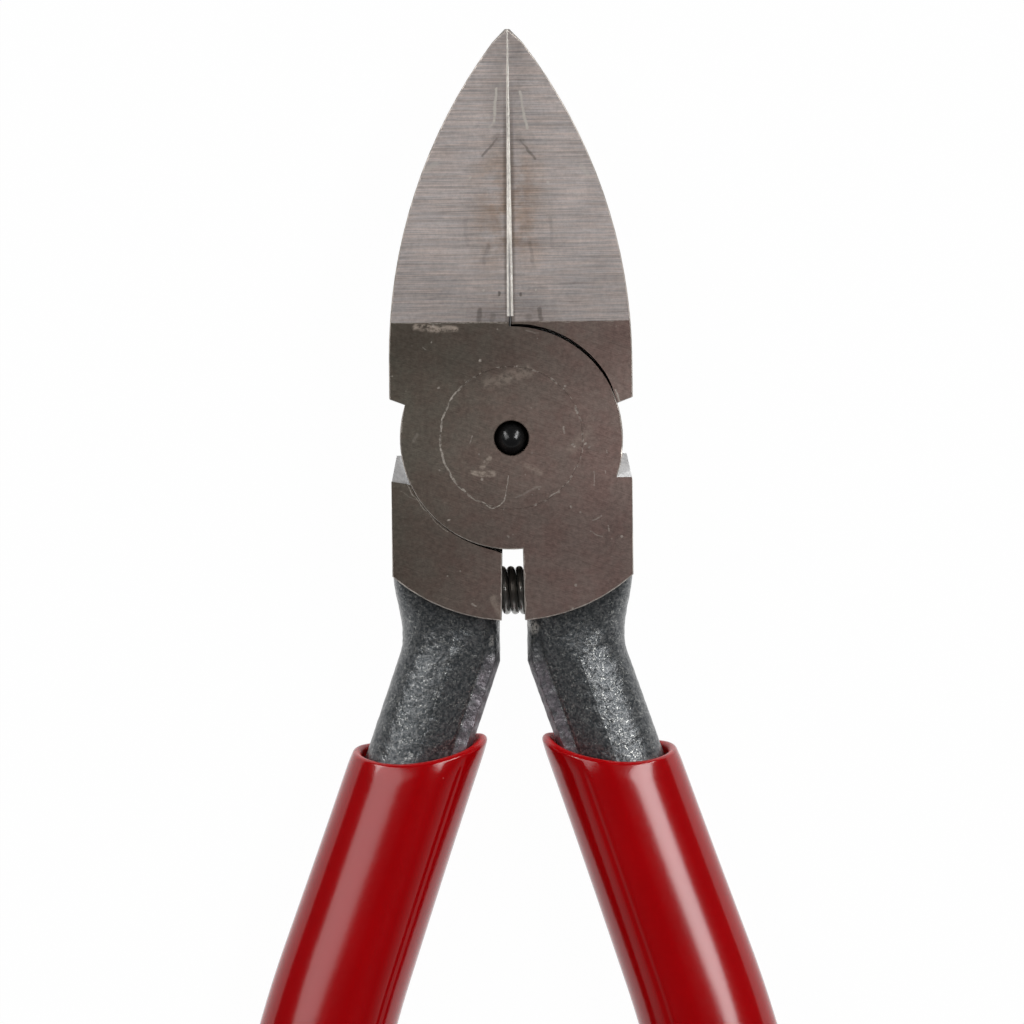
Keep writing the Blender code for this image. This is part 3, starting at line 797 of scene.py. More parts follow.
@dataclass(frozen=True)
class BladeFace(GroundSteel):
    """The flat faces of the blades: lines straight across, stained near the cutting edges."""

    cool_colour: Colour = srgb(186, 182, 182)
    streaks: Noise = Noise(1.0, 3.0, 0.6, (0.36, 0.64), (0.0, 0.7))
    streak_scale: tuple[float, float, float] = (0.25, 4.6, 0.3)
    low_rows: Span = (17.5, 11.0)
    low_level: float = 0.86
    patches: Noise = Noise(0.55, 3.0, 0.6, (0.34, 0.68))
    stain_colour: Colour = srgb(228, 214, 200)
    stain: Zone = Zone((4.4, 0.8), (12.0, 17.5))
    stain_top: Span = (26.5, 21.0)
    # Painted shade beside the land, in the upper part and at the heel.
    painted_shade_colour: Colour = srgb(74, 62, 54)
    upper_shadow: Zone = Zone((2.6, 0.6), (22.0, 31.0), 0.30)
    heel_shadow: Zone = Zone((4.5, 2.0), (13.4, 9.8), 0.28)
    shadow_levels: Span = (0.5, 1.0)
    land_side_shade: Zone = Zone((0.58, 0.30), (34.0, 24.0), 0.5)
    mark_colour: Colour = srgb(214, 208, 200)
    dark_colour: Colour = srgb(66, 58, 52)
    light_marks: tuple[Nick, ...] = nick_rows(
        (-0.92, 29.1, -1.17, 26.3, 0.15, 0.95), (1.04, 28.8, 1.3, 26.9, 0.15, 0.85),
        (1.3, 26.9, 1.6, 25.8, 0.15, 0.95), (-1.17, 26.3, -1.6, 25.9, 0.15, 0.45),
        (-3.19, 21.7, -3.15, 21.72, 0.14, 0.8), (3.23, 21.3, 3.27, 21.32, 0.14, 0.8),
        (-2.2, 12.35, -2.17, 12.38, 0.13, 0.8), (2.14, 12.35, 2.17, 12.38, 0.13, 0.8),
        (-6.9, 22.4, -6.0, 23.0, 0.28, 0.4), (6.6, 21.9, 6.05, 22.6, 0.28, 0.4),
    )
    dark_marks: tuple[Nick, ...] = nick_rows(
        (-0.93, 24.95, -2.2, 23.45, 0.15, 0.46), (0.94, 24.85, 2.28, 23.25, 0.15, 0.46),
        (-1.05, 24.95, -0.8, 25.05, 0.5, 0.26), (1.05, 24.75, 0.85, 24.95, 0.5, 0.26),
        (-0.9, 12.1, -0.92, 11.9, 0.17, 0.65), (0.91, 12.1, 0.93, 11.9, 0.17, 0.65),
        (-2.5, 10.7, -2.55, 9.85, 0.28, 0.45), (2.4, 10.7, 2.6, 9.9, 0.28, 0.45),
        (-1.45, 10.2, -1.55, 9.8, 0.32, 0.24), (1.5, 10.2, 1.6, 9.8, 0.32, 0.24),
        (-2.95, 12.5, -1.6, 12.4, 0.22, 0.16), (2.95, 12.5, 1.6, 12.4, 0.22, 0.16),
        (-3.65, 18.4, -3.5, 16.2, 0.25, 0.16), (3.4, 18.4, 3.6, 15.9, 0.25, 0.16),
        (-1.8, 16.2, -2.1, 14.6, 0.22, 0.25), (1.7, 16.2, 1.9, 14.6, 0.22, 0.25),
    )

    def base(self, canvas: Canvas) -> Feed:
        """Warm and cool grey in long streaks across the blade, and darker towards the heel.

        Args:
            canvas: The material's graph.

        Returns:
            The colour.
        """
        stretched = canvas.add("Mapping", {"Vector": canvas.point, "Scale": self.streak_scale})
        colour = canvas.mix(self.streaks.at(stretched), self.colour, self.cool_colour)
        low = canvas.parts(canvas.point)[1].step(*self.low_rows)
        return canvas.shade(colour, low.spread(1.0, self.low_level))

    def marks(self, canvas: Canvas, colour: Wire) -> Wire:
        """Adds the brown stain along the edges, painted shade beside the land and at the heel, and rubbed
        marks.

        Args:
            canvas: The material's graph.
            colour: The colour so far.

        Returns:
            The colour with the marks.
        """
        patchy = canvas.noise(self.patches)
        stain = self.stain.mask(canvas) * canvas.parts(canvas.point)[1].step(*self.stain_top) * patchy
        colour = canvas.mix(stain, colour, self.stain_colour, "MULTIPLY")
        shadow = self.upper_shadow.mask(canvas) | self.heel_shadow.mask(canvas)
        shadow = shadow * patchy.spread(*self.shadow_levels) | self.land_side_shade.mask(canvas)
        colour = canvas.mix(shadow, colour, self.painted_shade_colour)
        colour = canvas.mix(canvas.scratches(self.dark_marks), colour, self.dark_colour)
        return canvas.mix(canvas.scratches(self.light_marks), colour, self.mark_colour)


@dataclass(frozen=True)
class HonedLand(GroundSteel):
    """The narrow land of a cutting edge, bright honed steel painted near white as a painted highlight, with
    painted shade of the slit where the heels part.
    """

    # Painted shade of the slit between the cutting edges.
    gap_shade: Zone = Zone((0.09, 0.03), (17.5, 14.0), 0.8)
    gap_shade_colour: Colour = srgb(60, 52, 46)

    def marks(self, canvas: Canvas, colour: Wire) -> Wire:
        """Darkens the middle towards the heel with painted shade of the slit."""
        return canvas.mix(self.gap_shade.mask(canvas), colour, self.gap_shade_colour)


@dataclass(frozen=True)
class LapFace(GroundSteel):
    """The milled faces beside the discs, painted brightest on the left, where the step lies deepest and gets
    the least light.
    """

    # Painted light on the deep left face.
    left_painted_light_colour: Colour = srgb(250, 250, 250)
    left_light_reach: Span = (-2.0, 2.0)

    def base(self, canvas: Canvas) -> Feed:
        """Paler to the left of the pivot: painted light."""
        return canvas.mix(canvas.parts(canvas.point)[0].step(*self.left_light_reach), self.left_painted_light_colour, self.colour)


@dataclass(frozen=True)
class ForgedScale(Finish):
    """Forged steel with its dark scale: fine grain that sparkles where it faces a light, and bright specks
    that are partly flecks in the scale and partly painted glints.
    """

    dark: Colour = srgb(62, 66, 69)
    light: Colour = srgb(112, 113, 114)
    waves: Noise = Noise(0.9)
    wave_height: float = 2.8
    grain: Noise = Noise(3.6, 3.0, 0.65)
    grain_edges: Span = (0.36, 0.70)
    fine: Noise = Noise(11.0, 2.0, 0.6)
    fine_height: float = 0.5
    relief: float = 0.032
    roughness: Span = (0.44, 0.20)
    metallic: Span = (0.55, 0.1)
    spark: Colour = srgb(206, 206, 200)
    sparks: Specks = Specks(0.13, 0.34, 0.50)
    spark_patches: Noise = Noise(1.5, 3.0, 0.6, (0.40, 0.62))
    spark_levels: Span = (0.12, 1.0)
    spark_share: float = 0.45
    spark_gloss: float = 0.16
    trimmed: Colour = srgb(132, 124, 130)
    trim_offset: float = -3.68
    trim_softness: float = 0.10
    trim_start: float = -18.5
    trim_fade: float = 1.5
    trim_wear: Noise = Noise(1.7, 4.0, 0.7, (0.36, 0.62), (0.15, 0.75))
    trim_sparks: float = 0.35
    trim_relief: float = 0.7
    ridge_offset: float = 0.15
    ridge_width: Span = (0.40, 0.10)
    bare: Colour = srgb(200, 196, 190)
    chip_edge: Noise = Noise(5.0, 3.0, 0.65, (0.40, 0.52))
    chips: tuple[Nick, ...] = nick_rows(
        (0.95, -14.8, 1.75, -15.95, 0.6, 1.0), (-1.75, -16.6, -1.9, -17.1, 0.3, 0.5),
    )

    def trim(self, canvas: Canvas) -> tuple[Wire, Wire]:
        """Finds the strip along the inner sides, by the distance |x| cos h + y sin h square to the bar.

        Args:
            canvas: The material's graph.

        Returns:
            The masks of the strip and of the ridge beside it.
        """
        x, y, _ = canvas.parts(canvas.point)
        off = abs(x) * math.cos(LINE.splay) + y * math.sin(LINE.splay) - self.trim_offset
        below = (y - self.trim_start).step(self.trim_fade, -self.trim_fade)
        ridge = abs(off - self.ridge_offset).step(*self.ridge_width)
        return off.step(self.trim_softness, -self.trim_softness) * below, ridge * below

    def paint(self, canvas: Canvas) -> None:
        """Puts waves and two grains in the relief, paints bright specks as flecks and painted glints, and
        shows bare steel where the scale is rubbed.

        Args:
            canvas: The material's graph.
        """
        waves, grain, fine = (canvas.noise(pattern) for pattern in (self.waves, self.grain, self.fine))
        trim, ridge = self.trim(canvas)
        # Painted glints: bright specks in patches, gathered along the ridge beside the strip.
        patchy = canvas.noise(self.spark_patches) | ridge
        patchy = patchy.spread(*self.spark_levels) * trim.spread(1.0, self.trim_sparks)
        sparks = canvas.specks(self.sparks) * patchy
        colour = canvas.mix(grain.step(*self.grain_edges), self.dark, self.light)
        colour = canvas.mix(sparks * self.spark_share, colour, self.spark)
        colour = canvas.mix(trim * canvas.noise(self.trim_wear), colour, self.trimmed)
        bare = canvas.scratches(self.chips) * canvas.noise(self.chip_edge)
        canvas.surface({
            "Base Color": canvas.mix(bare, colour, self.bare),
            "Roughness": fine.spread(*self.roughness) - sparks * self.spark_gloss,
            "Metallic": bare.spread(*self.metallic),
        })
        height = waves * self.wave_height + grain + fine * self.fine_height
        canvas.relief(height * trim.spread(1.0, self.trim_relief), self.relief)


@dataclass(frozen=True)
class DippedVinyl(Finish):
    """Dipped vinyl: deep red and glossy, a little uneven as it drained and set."""

    colour: Colour = srgb(169, 0, 6)
    # Painted light: a brighter red inside the sleeve, where little light reaches.
    inner_painted_light_colour: Colour = srgb(236, 8, 14)
    dust: Specks = Specks(1.5, 0.06, 0.05, 0.22)
    dust_colour: Colour = srgb(215, 150, 150)
    flow: Noise = Noise(0.16)
    flow_contrast: float = 0.10
    fine: Noise = Noise(2.4, 3.0)
    fine_height: float = 0.08
    relief: float = 0.012
    roughness: Span = (0.10, 0.20)
    inner_roughness: float = 0.40
    refraction: float = 1.50
    scatter: float = 0.35
    scatter_reach: tuple[float, float, float] = (1.0, 0.2, 0.12)
    scatter_depth: float = 1.2

    def paint(self, canvas: Canvas) -> None:
        """Puts slow waves and a fine skin in the relief, and adds a little dust.

        The sleeve's attribute "inside" is 1 on the inner wall, which is matt and painted a brighter red as
        painted light inside the sleeve.

        Args:
            canvas: The material's graph.
        """
        inside = canvas.add("Attribute", output="Fac", attribute_name="inside")
        flow, fine = canvas.noise(self.flow), canvas.noise(self.fine)
        tone = canvas.shade(self.colour, flow.around(1.0, self.flow_contrast))
        colour = canvas.mix(canvas.specks(self.dust), tone, self.dust_colour)
        canvas.surface({
            "Base Color": canvas.mix(inside, colour, self.inner_painted_light_colour),
            "Roughness": fine.spread(*self.roughness) + inside * self.inner_roughness,
            "IOR": self.refraction,
            "Subsurface Weight": self.scatter,
            "Subsurface Radius": self.scatter_reach,
            "Subsurface Scale": self.scatter_depth * MM,
        })
        canvas.relief(flow + fine * self.fine_height, self.relief)


@dataclass(frozen=True)
class BlackOxide(Finish):
    """Blackened and oiled steel: nearly black, glossy, and rubbed grey in spots."""

    colour: Colour = srgb(24, 24, 25)
    rubbed: Colour = srgb(70, 68, 65)
    roughness: float = 0.22
    metallic: float = 0.0
    rub_share: float = 0.35
    rub_roughness: float = 0.12
    relief: float = 0.003
    wear: Noise = Noise(2.2, 4.0, 0.65, (0.54, 0.74))
    specks: Specks = Specks(0.5, 0.04, 0.12)

    def paint(self, canvas: Canvas) -> None:
        """Rubs the black to grey in patches and specks.

        Args:
            canvas: The material's graph.
        """
        worn = canvas.noise(self.wear)
        share = (worn | canvas.specks(self.specks)) * self.rub_share
        canvas.surface({
            "Base Color": canvas.mix(share, self.colour, self.rubbed),
            "Roughness": worn.spread(self.roughness, self.roughness + self.rub_roughness),
            "Metallic": self.metallic,
        })
        canvas.relief(worn, self.relief)


class Finishes:
    """Every material of the tool, built once."""

    def __init__(self) -> None:
        """Builds the shared groups and the materials."""
        effects = SharedEffects()
        self.head = HeadFace(
            "ground_head_face", srgb(111, 106, 96), line_turn=20.0, line_spacing=0.11, line_contrast=0.16,
            roughness=0.46, relief=0.003, mottle=0.24,
        ).material(effects)
        self.blade = BladeFace(
            "ground_blade_face", srgb(202, 189, 183), line_spacing=0.10, line_contrast=0.34, roughness=0.48,
            mottle=0.15,
        ).material(effects)
        # The land's near-white colour is partly a painted highlight.
        self.land = HonedLand(
            "honed_land", srgb(250, 246, 240), line_turn=90.0, line_contrast=0.16, roughness=0.36,
            metallic=0.3, mottle=0.20,
        ).material(effects)
        self.lap = LapFace(
            "milled_lap_face", srgb(236, 236, 236), line_turn=35.0, line_spacing=0.2, line_contrast=0.10,
            roughness=0.45, metallic=0.0, mottle=0.16,
        ).material(effects)
        self.wall = GroundSteel("ground_side", srgb(118, 110, 104), line_contrast=0.15).material(effects)
        # The rounded edges are painted pale: bright wear, and in part painted highlights along the edges.
        self.edge = GroundSteel(
            "worn_and_highlit_edge", srgb(186, 177, 169), line_turn=65.0, line_spacing=0.5, line_contrast=0.45,
            roughness=0.40, metallic=0.5,
        ).material(effects)
        self.scale = ForgedScale("forged_scale").material(effects)
        self.vinyl = DippedVinyl("dipped_red_vinyl").material(effects)
        self.ball = BlackOxide("polished_black_oxide", roughness=0.19, rub_share=0.15).material(effects)
        # Painted light: the spring's black wire gets a light grey colour for the light its coils catch in the
        # slot.
        self.wire = BlackOxide(
            "oiled_black_wire_painted_light", srgb(168, 168, 164), srgb(196, 192, 186), roughness=0.14, metallic=0.5,
        ).material(effects)


def dress(piece: bpy.types.Object, material: bpy.types.Material) -> None:
    """Gives a piece one material."""
    piece.data.materials.clear()
    piece.data.materials.append(material)


def seat(piece: bpy.types.Object, half: Half, node: str | None = None) -> None:
    """Lets a piece ride on its body, in place of a CAD node where one is named.

    Args:
        piece: The piece.
        half: The body it moves with.
        node: The node that it replaces, or none.
    """
    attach(piece, half.value)
    if node is not None:
        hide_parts(node)
    log.info("%s rides on %s", piece.name, half.value)


# Handle line, tangs and grips


@dataclass(frozen=True)
class HandleLine:
    """The middle line of the handle on the +X side, in the plane of the tool.

    It runs straight down, bends outwards, runs straight, bows back and draws in at its tail.
    """

    start_x: float = 5.25
    start_y: float = -9.6
    drop: float = 7.0
    bend_radius: float = 8.0
    splay: float = math.radians(19.1)
    straight: float = 26.2
    bow_radius: float = 95.0
    tail_radius: float = 390.0
    tail_turn: float = math.radians(6.0)

    def runs(self) -> list[tuple[float, float]]:
        """The line as (length, turn) of each run."""
        return [
            (self.drop, 0.0),
            (self.bend_radius * self.splay, self.splay),
            (self.straight, 0.0),
            (self.bow_radius * self.splay, -self.splay),
            (self.tail_radius * self.tail_turn, -self.tail_turn),
        ]

    @property
    def length(self) -> float:
        """The whole line's length."""
        return sum(length for length, _ in self.runs())

    @property
    def straight_start(self) -> float:
        """Where the bend ends."""
        return self.drop + self.bend_radius * self.splay

    def at(self, s: np.ndarray) -> tuple[np.ndarray, np.ndarray, np.ndarray]:
        """Walks the runs: a run of length l that turns by 2 h moves by its chord l sin(h) / h.

        Args:
            s: Distances along the line.

        Returns:
            X, Y and the heading at each distance, which is 0 straight down and grows outwards.
        """
        left = np.array(s, float)
        x = np.full_like(left, self.start_x)
        y = np.full_like(left, self.start_y)
        heading = np.zeros_like(left)
        for length, turn in self.runs():
            run = np.minimum(left, length)
            half = turn * run / length / 2
            chord = run * np.sinc(half / np.pi)
            x += chord * np.sin(heading + half)
            y -= chord * np.cos(heading + half)
            heading += 2 * half
            left -= run
        return x, y, heading

    def place(self, s: np.ndarray, across: np.ndarray, up: np.ndarray, side: Side) -> np.ndarray:
        """Points at a distance along the line, outwards from it and up from the middle plane.

        Args:
            s: Distances along the line.
            across: Distances outwards, square to the line.
            up: Heights over the middle plane.
            side: The handle's side.

        Returns:
            The points, with a last axis of 3.
        """
        x, y, heading = self.at(s)
        x = x + across * np.cos(heading)
        y = y + across * np.sin(heading)
        return np.stack((side * x, y, np.broadcast_to(MIDDLE_Z + up, x.shape)), axis=-1)


LINE = HandleLine()


def polar_superellipse(angle: np.ndarray, squareness: float | np.ndarray) -> np.ndarray:
    """How far a rounded square of half-width 1 reaches: (|cos a|^n + |sin a|^n)^(-1/n)."""
    near = np.abs(np.cos(angle)) ** squareness + np.abs(np.sin(angle)) ** squareness
    return near ** (-1 / squareness)


@dataclass(frozen=True)
class Section:
    """Half of a handle's section in half-widths, from its outer edge (1, 0) to its inner edge (-1, 0).

    Outside the ridge it is a superellipse that slopes from the start: z = (1 - u^n)^(1/n) - s u (1 - u)
    at a share u of the way. Inside, the flank falls from the ridge by a power of the distance to a
    crease, and beyond the crease a strip runs on to the inner edge. With no strip, the inner side is a
    superellipse of that power.
    """

    ridge: float
    squareness: float
    slope: float
    flank_power: float
    strip: tuple[Span, ...]
    softness: float
    arc_steps: int = 121
    flank_steps: int = 81
    strip_steps: int = 40
    polar_steps: int = 721
    bell_steps: int = 10
    bell_reach: float = 2.5

    def round_side(self) -> tuple[np.ndarray, np.ndarray]:
        """The inner side as a superellipse from the ridge to the inner edge."""
        u, up = superellipse(np.linspace(np.pi / 2, 0, self.arc_steps)[1:], self.flank_power)
        return lerp(self.ridge, -1.0, u), up

    def trimmed_side(self) -> tuple[np.ndarray, np.ndarray]:
        """The inner side as a flank to the crease, and the strip's corners joined by straight lines.

        Returns:
            Across and up, from the ridge to the inner edge.
        """
        t = np.linspace(0, 1, self.flank_steps)[1:]
        crease_x, crease_z = self.strip[0]
        corners = np.array((*self.strip, (-1.0, 0.0)))
        steps = np.linspace(0, len(corners) - 1, self.strip_steps * len(corners))[1:]
        strip_x, strip_z = (np.interp(steps, np.arange(len(corners)), corners[:, i]) for i in (0, 1))
        flank_z = 1 - (1 - crease_z) * t**self.flank_power
        return np.append(lerp(self.ridge, crease_x, t), strip_x), np.append(flank_z, strip_z)

    def reach(self, angle: np.ndarray) -> np.ndarray:
        """How far the section reaches from its middle in the direction of each angle.

        The outline is read off in polar form, then smoothed with a bell of the given softness. The
        rear face mirrors the front face.

        Args:
            angle: Angles from the outer side, round by the front.

        Returns:
            The reach at each angle.
        """
        u, up = superellipse(np.linspace(0, np.pi / 2, self.arc_steps), self.squareness)
        up = up - self.slope * u * (1 - u)
        inner_x, inner_z = self.trimmed_side() if self.strip else self.round_side()
        x = np.concatenate((lerp(self.ridge, 1.0, u), inner_x))
        z = np.concatenate((up, inner_z))
        fine = np.radians(np.linspace(0, 180, self.polar_steps))
        half = np.interp(fine, np.arctan2(z, x), np.hypot(x, z))
        half_bell = round(self.bell_steps * self.softness)
        bell = np.exp(-np.linspace(-self.bell_reach, self.bell_reach, 2 * half_bell + 1) ** 2)
        padded = np.pad(half, half_bell, mode="reflect")
        half = np.convolve(padded, bell / bell.sum(), mode="valid")
        return np.interp(np.arccos(np.cos(angle)), fine, half)


@dataclass(frozen=True)
class Dent:
    """A shallow press mark in a sleeve, below its lip."""

    angle: float
    below: float
    depth: float
    spread_angle: float
    spread_along: float


@dataclass(frozen=True)
class Grip:
    """A dipped vinyl sleeve: a cup with a slanted, rounded lip and a round end.

    Its section shows the bar inside it: a sloped outer side, and a fine crease along the inner side.
    """

    side: Side
    half: Half
    node: str
    ridge: float
    crease_angle: float
    squareness: float = 2.35
    slope: float = 0.14
    flank_power: float = 2.1
    softness: float = 2.0
    crease_depth: float = 0.045
    crease_width: float = 0.042
    crease_reach: float = 3.0
    crease_clear: float = 3.5
    top_half_width: float = 5.25
    middle_half_width: float = 5.80
    end_half_width: float = 5.10
    half_thickness: float = 4.995
    wall: float = 1.05
    lip_wall: float = 0.80
    lip_draw: float = 0.07
    lip_round: float = 0.34
    lip_length: float = 1.3
    lip_flare: float = 2.2
    lip_fade: float = 2.8
    lip_turn: float = 1.65
    lip_blend: float = 0.5
    lip_drop: float = 6.55
    lip_slant: float = 2.20
    lip_tilt: float = 1.05
    lip_dip: float = 0.67
    end_round: float = 5.0
    end_inset: float = 0.04
    columns: int = 144
    crease_columns: int = 13
    rows: int = 110
    row_crowding: float = 1.5
    rim_rows: int = 14
    dome_rows: int = 18
    dents: tuple[Dent, ...] = (
        Dent(1.34, 1.2, 0.009, 0.07, 0.35),
        Dent(1.52, 1.0, 0.007, 0.06, 0.30),
    )

    @property
    def section(self) -> Section:
        """The section below the lip."""
        return Section(self.ridge, self.squareness, self.slope, self.flank_power, (), self.softness)

    @property
    def angles(self) -> np.ndarray:
        """The columns' angles: evenly spread, and close together at the creases on both faces.

        Returns:
            One row of angles.
        """
        near = np.linspace(-self.crease_reach, self.crease_reach, self.crease_columns) * self.crease_width
        even = np.linspace(0, 2 * np.pi, self.columns, endpoint=False)
        creases = np.concatenate((self.crease_angle + near, 2 * np.pi - self.crease_angle + near))
        far = np.abs(np.arccos(np.cos(even)) - self.crease_angle) > self.crease_clear * self.crease_width
        return np.sort(np.concatenate((even[far], creases)))[None, :]

    @property
    def lip_start(self) -> float:
        """Where the middle of the lip lies along the line."""
        return LINE.straight_start + self.lip_drop

    @property
    def end(self) -> float:
        """Where the round end reaches along the line."""
        return LINE.length - self.end_inset

    def lip(self, angle: np.ndarray) -> np.ndarray:
        """Where the sleeve starts along the line: slant cos a + tilt sin a + dip sin^2 a."""
        up = np.sin(angle)
        return self.lip_start + self.lip_slant * np.cos(angle) + self.lip_tilt * up + self.lip_dip * up**2

    def half_width(self, s: np.ndarray) -> np.ndarray:
        """Half the width along the line: fullest in the middle of the sleeve.

        Args:
            s: Distances along the line.

        Returns:
            The half-width at each distance.
        """
        t = (s - self.lip_start) / (self.end - self.lip_start)
        upper = lerp(self.top_half_width, self.middle_half_width, smooth(2 * t))
        return lerp(upper, self.end_half_width, smooth(2 * t - 1))

    def pressed(self, angle: np.ndarray, s: np.ndarray) -> np.ndarray:
        """How deep the dents are: a sum of bells over the angle and the distance below the lip.

        Args:
            angle: Angles round the section.
            s: Distances along the line.

        Returns:
            The depths, as rows x columns.
        """
        deep = np.zeros(np.broadcast(angle, s).shape)
        for dent in self.dents:
            turn = (angle - dent.angle) / dent.spread_angle
            along = (s - self.lip(angle) - dent.below) / dent.spread_along
            deep += dent.depth * np.exp(-turn**2 - along**2)
        return deep

    def creased(self, angle: np.ndarray, s: np.ndarray) -> np.ndarray:
        """How deep the crease is: a bell over the angle, which fades in below the lip."""
        off = (np.arccos(np.cos(angle)) - self.crease_angle) / self.crease_width
        return self.crease_depth * np.exp(-off**2) * smooth((s - self.lip(angle)) / self.lip_fade)

    def shell(self, angle: np.ndarray, s: np.ndarray, inset: np.ndarray) -> np.ndarray:
        """Points a given inset below the sleeve's outside, drawn in over the end as an ellipse is.

        Args:
            angle: Angles round the section, 0 on the outer side.
            s: Distances along the line.
            inset: Depths below the outside.

        Returns:
            The points, with a last axis of 3.
        """
        past = np.maximum(0, s - self.end + self.end_round) / (self.end_round - inset)
        draw = np.sqrt(np.maximum(0, 1 - past**2))
        inner = smooth((np.arccos(np.cos(angle)) - self.lip_turn) / self.lip_blend)
        at_lip = 1 - smooth((s - self.lip(angle)) / self.lip_fade)
        plain = polar_superellipse(angle, self.squareness)
        reach = lerp(self.section.reach(angle), plain, inner * at_lip)
        wide = (self.half_width(s) - inset) * draw
        thick = (self.half_thickness - inset) * draw
        return LINE.place(s, reach * np.cos(angle) * wide, reach * np.sin(angle) * thick, self.side)

    def wall_rows(
        self, angle: np.ndarray, inset: float, lip_inset: float, lip_length: float,
    ) -> tuple[np.ndarray, np.ndarray]:
        """The rows of one wall, from the rim's edge to the pole of the round end.

        Args:
            angle: The columns' angles.
            inset: The wall's depth below the outside: 0 outside, its thickness inside.
            lip_inset: The same at the lip, where the vinyl runs thin.
            lip_length: How far below the lip the wall comes to its full depth.

        Returns:
            Distances along the line, and insets, as rows x columns.
        """
        dome_start = self.end - self.end_round
        start = self.lip(angle) + self.lip_round
        t = np.linspace(0, 1, self.rows)[:, None] ** self.row_crowding
        body = lerp(start, dome_start, t)
        rise = np.sin(np.linspace(0, np.pi / 2, self.dome_rows + 1)[1:, None])
        dome = dome_start + (self.end_round - inset) * rise + 0 * angle
        s = np.concatenate((body, dome))
        near = np.clip(1 - (s - start) / lip_length, 0, 1) ** 2
        return s, lerp(inset, lip_inset, near)

    def build(self, finishes: Finishes) -> None:
        """Carries the wall's profile round: up the inside, over the rim and down the outside.

        Args:
            finishes: The materials.
        """
        angle = self.angles
        inner_lip = self.lip_draw + self.lip_wall
        inner_s, inner_inset = self.wall_rows(angle, self.wall, inner_lip, self.lip_flare)
        outer_s, outer_inset = self.wall_rows(angle, 0.0, self.lip_draw, self.lip_length)
        turn = np.linspace(-np.pi / 2, np.pi / 2, self.rim_rows)[1:-1, None]
        rim_s = self.lip(angle) + self.lip_round * (1 - np.cos(turn))
        rim_inset = self.lip_draw + self.lip_wall / 2 * (1 - np.sin(turn)) + 0 * angle
        s = np.concatenate((inner_s[::-1], rim_s, outer_s))
        inset = np.concatenate((inner_inset[::-1], rim_inset, outer_inset))
        # The attribute "inside" carries the painted light of the inner wall.
        rim_inside = (1 - np.sin(turn)) / 2 + 0 * angle
        inside = np.concatenate((np.ones_like(inner_s), rim_inside, np.zeros_like(outer_s)))
        outside = np.zeros_like(s)
        outside[-len(outer_s):] = 1
        relief = self.pressed(angle, s) + self.creased(angle, s)
        points = self.shell(angle, s, inset + outside * relief)
        piece = skin(self.node + "_sleeve", points, sharp=60, inside=inside)
        dress(piece, finishes.vinyl)
        seat(piece, self.half, self.node)


